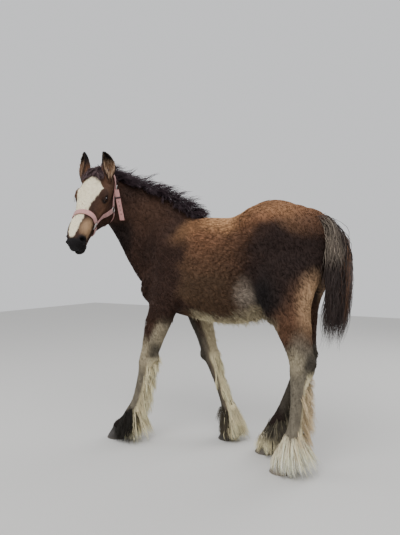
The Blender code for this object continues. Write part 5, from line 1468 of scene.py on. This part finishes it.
def ringPiece(node):
    # the solid's middle and plane, and a finer ring in it: middle + reach * (cos^power, sin^power)
    spots, middle, axes = ownAxes(node)
    reach = [abs(spots @ axes[k]).max() - ring["bar"] for k in (0, 1)]
    c, s = rounded(around(64), 0.6 if "buckle" in node else 1.0)
    line = middle + np.outer(c * reach[0], axes[0]) + np.outer(s * reach[1], axes[1])
    ahead = unit(np.roll(line, -1, 0) - np.roll(line, 1, 0))
    made = tube(camel(node), line, np.cross(ahead, axes[2]), axes[2], ring["bar"] * 0.96, 14, closed=True)
    metal.on(made, "halter_metal")
    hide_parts(node)
    if "buckle" in node:
        # the tongue lies across it, along the more upright axis
        k = int(abs(axes[1][2]) > abs(axes[0][2]))
        t = np.linspace(-1.0, 1.05, 12)
        line = middle + np.outer(t * reach[k], axes[k])
        size = ring["tongue"] * (1 - 0.5 * t**8)
        metal.on(tube(made.name + "Tongue", line, np.cross(axes[k], axes[2]), axes[2], size, 14), "halter_metal")


strapEnd = {
    # shares of the loose end's length at the eyelets and the keeper
    "shares": (0.4, 0.53, 0.66, 0.79, 0.27),
    # radius and height of an eyelet's rings
    "eyelet": ((0.0026, -0.0008), (0.0025, 0.0006), (0.0019, 0.0009), (0.0014, 0.0004), (0.0012, -0.0002)),
    # half the keeper's depth, and half the width and thickness of its band
    "keeper": (0.003, 0.0036, 0.0006),
}


def strapDetails():
    # eyelets down the strap's loose end, and the dark keeper round it: a rounded band set on the end's own axes
    spots, middle, (down, wide, out) = ownAxes("halter_strap_end")
    down = down * -np.sign(down[2])
    out = out * np.sign(out @ headTurn[:, 1])
    run = spots @ down
    levels = run.min() + np.array(strapEnd["shares"]) * np.ptp(run)
    strapTree = treeOf(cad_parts["halter_strap_end"])
    found, _ = dropOn(strapTree, middle + np.outer(levels, down) + out * 0.03, -out, 0.06)
    turn = around(16)[:, None]
    circle = np.cos(turn) * down + np.sin(turn) * wide
    for k, place in enumerate(found[:-1]):
        rings = np.array([place + circle * r + out * h for r, h in strapEnd["eyelet"]])
        dark.on(ringSurface("eyelet%d" % (k + 1), rings), "halter_webbing")
    deep, tall, thick = strapEnd["keeper"]
    half = abs(spots[abs(run - levels[-1]) < 0.35 * np.ptp(run)] @ wide).max() + 0.0008
    start = middle + down * levels[-1]
    start = start + out * ((found[-1] - start) @ out - 0.0012)
    turn = around(48)
    c, s = rounded(turn, 0.45)
    line = start + np.outer(c * half, wide) + np.outer(s * deep, out)
    way = unit(np.outer(np.cos(turn) / half, wide) + np.outer(np.sin(turn) / deep, out))
    a, b = rounded(around(12), 0.6)
    band = line[:, None] + a[:, None] * down * tall + b[:, None] * way[:, None] * thick
    dark.on(ringSurface("keeper", band, closed=True), "halter_webbing")


# Everything is made here, in order.

tree, faceTree = treeOf(body), treeOf(face)
for name, row in coat.items():
    tuftPiece(name, *row)
manePiece()
forelockPiece()
tailPiece()
dockPiece()
bellyPiece()
for leg in legs:
    featherPiece(leg)
    hoofPiece(leg)
print("coat and long hair made")
for side, hand in ((1, "left"), (-1, "right")):
    earPiece(side, hand)
    eyePiece(side, hand)
print("ears and eyes made")
for item, slot in ((body, "bay_coat"), (face, "face_coat")):
    dressed(item, coatColour(pointsOf(item.data)), skinFinish, slot)
    item.data.shade_smooth()
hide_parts("torso", "neck", "tail", *[f"leg_{leg}_{part}" for leg in legs for part in ("upper", "lower")])
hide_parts("head")
for node in sorted(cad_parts):
    if node.startswith("halter_") and ("ring" in node or "buckle" in node):
        ringPiece(node)
    elif node.startswith("halter_"):
        softStrap(node)
strapDetails()
print("halter made")

floor = makeMesh("floor", np.array([(-6, -6, 0), (6, -6, 0), (6, 6, 0), (-6, 6, 0)]), [np.array([[0, 1, 2, 3]])])
floorFinish = Finish("pale floor", 0.9)
floorFinish.put("Base Color", (0.62, 0.61, 0.59))
floor.data.materials.append(floorFinish.material)

# Light and camera.


def softLight(name, place, aim, size, power):
    lamp = bpy.data.lights.new(name, "AREA")
    lamp.shape = "DISK"
    lamp.size = size
    lamp.energy = power
    item = placed(name, lamp)
    item.location = place
    item.rotation_euler = (Vector(aim) - Vector(place)).to_track_quat("-Z", "Y").to_euler()


world = bpy.data.worlds.new("studio")
world.use_nodes = True
sky = world.node_tree.nodes["Background"]
sky.inputs[0].default_value = (0.97, 0.98, 1.0, 1)
sky.inputs[1].default_value = 0.85
bpy.context.scene.world = world
softLight("key", (0.8, -2.2, 3.4), (-0.05, 0.1, 0.7), 2.6, 95)
softLight("fill", (-2.8, -1.6, 1.8), (-0.2, 0.1, 0.7), 2.4, 22)
softLight("back", (1.2, 2.8, 2.6), (0, 0.1, 0.8), 2.2, 40)

lens = {"place": (1.069, -1.99, 0.807), "azimuth": 30.6, "tiltDown": 0.606, "millimetres": 520 / 535 * 36}
camera = bpy.data.cameras.new("camera")
camera.lens = lens["millimetres"]
camera.sensor_width = 36
viewer = placed("camera", camera)
viewer.location = Vector(lens["place"]) + Vector(shift)
azimuth, tilt = math.radians(lens["azimuth"]), math.radians(lens["tiltDown"])
look = Vector((-math.sin(azimuth) * math.cos(tilt), math.cos(azimuth) * math.cos(tilt), -math.sin(tilt)))
viewer.rotation_euler = look.to_track_quat("-Z", "Y").to_euler()
bpy.context.scene.camera = viewer
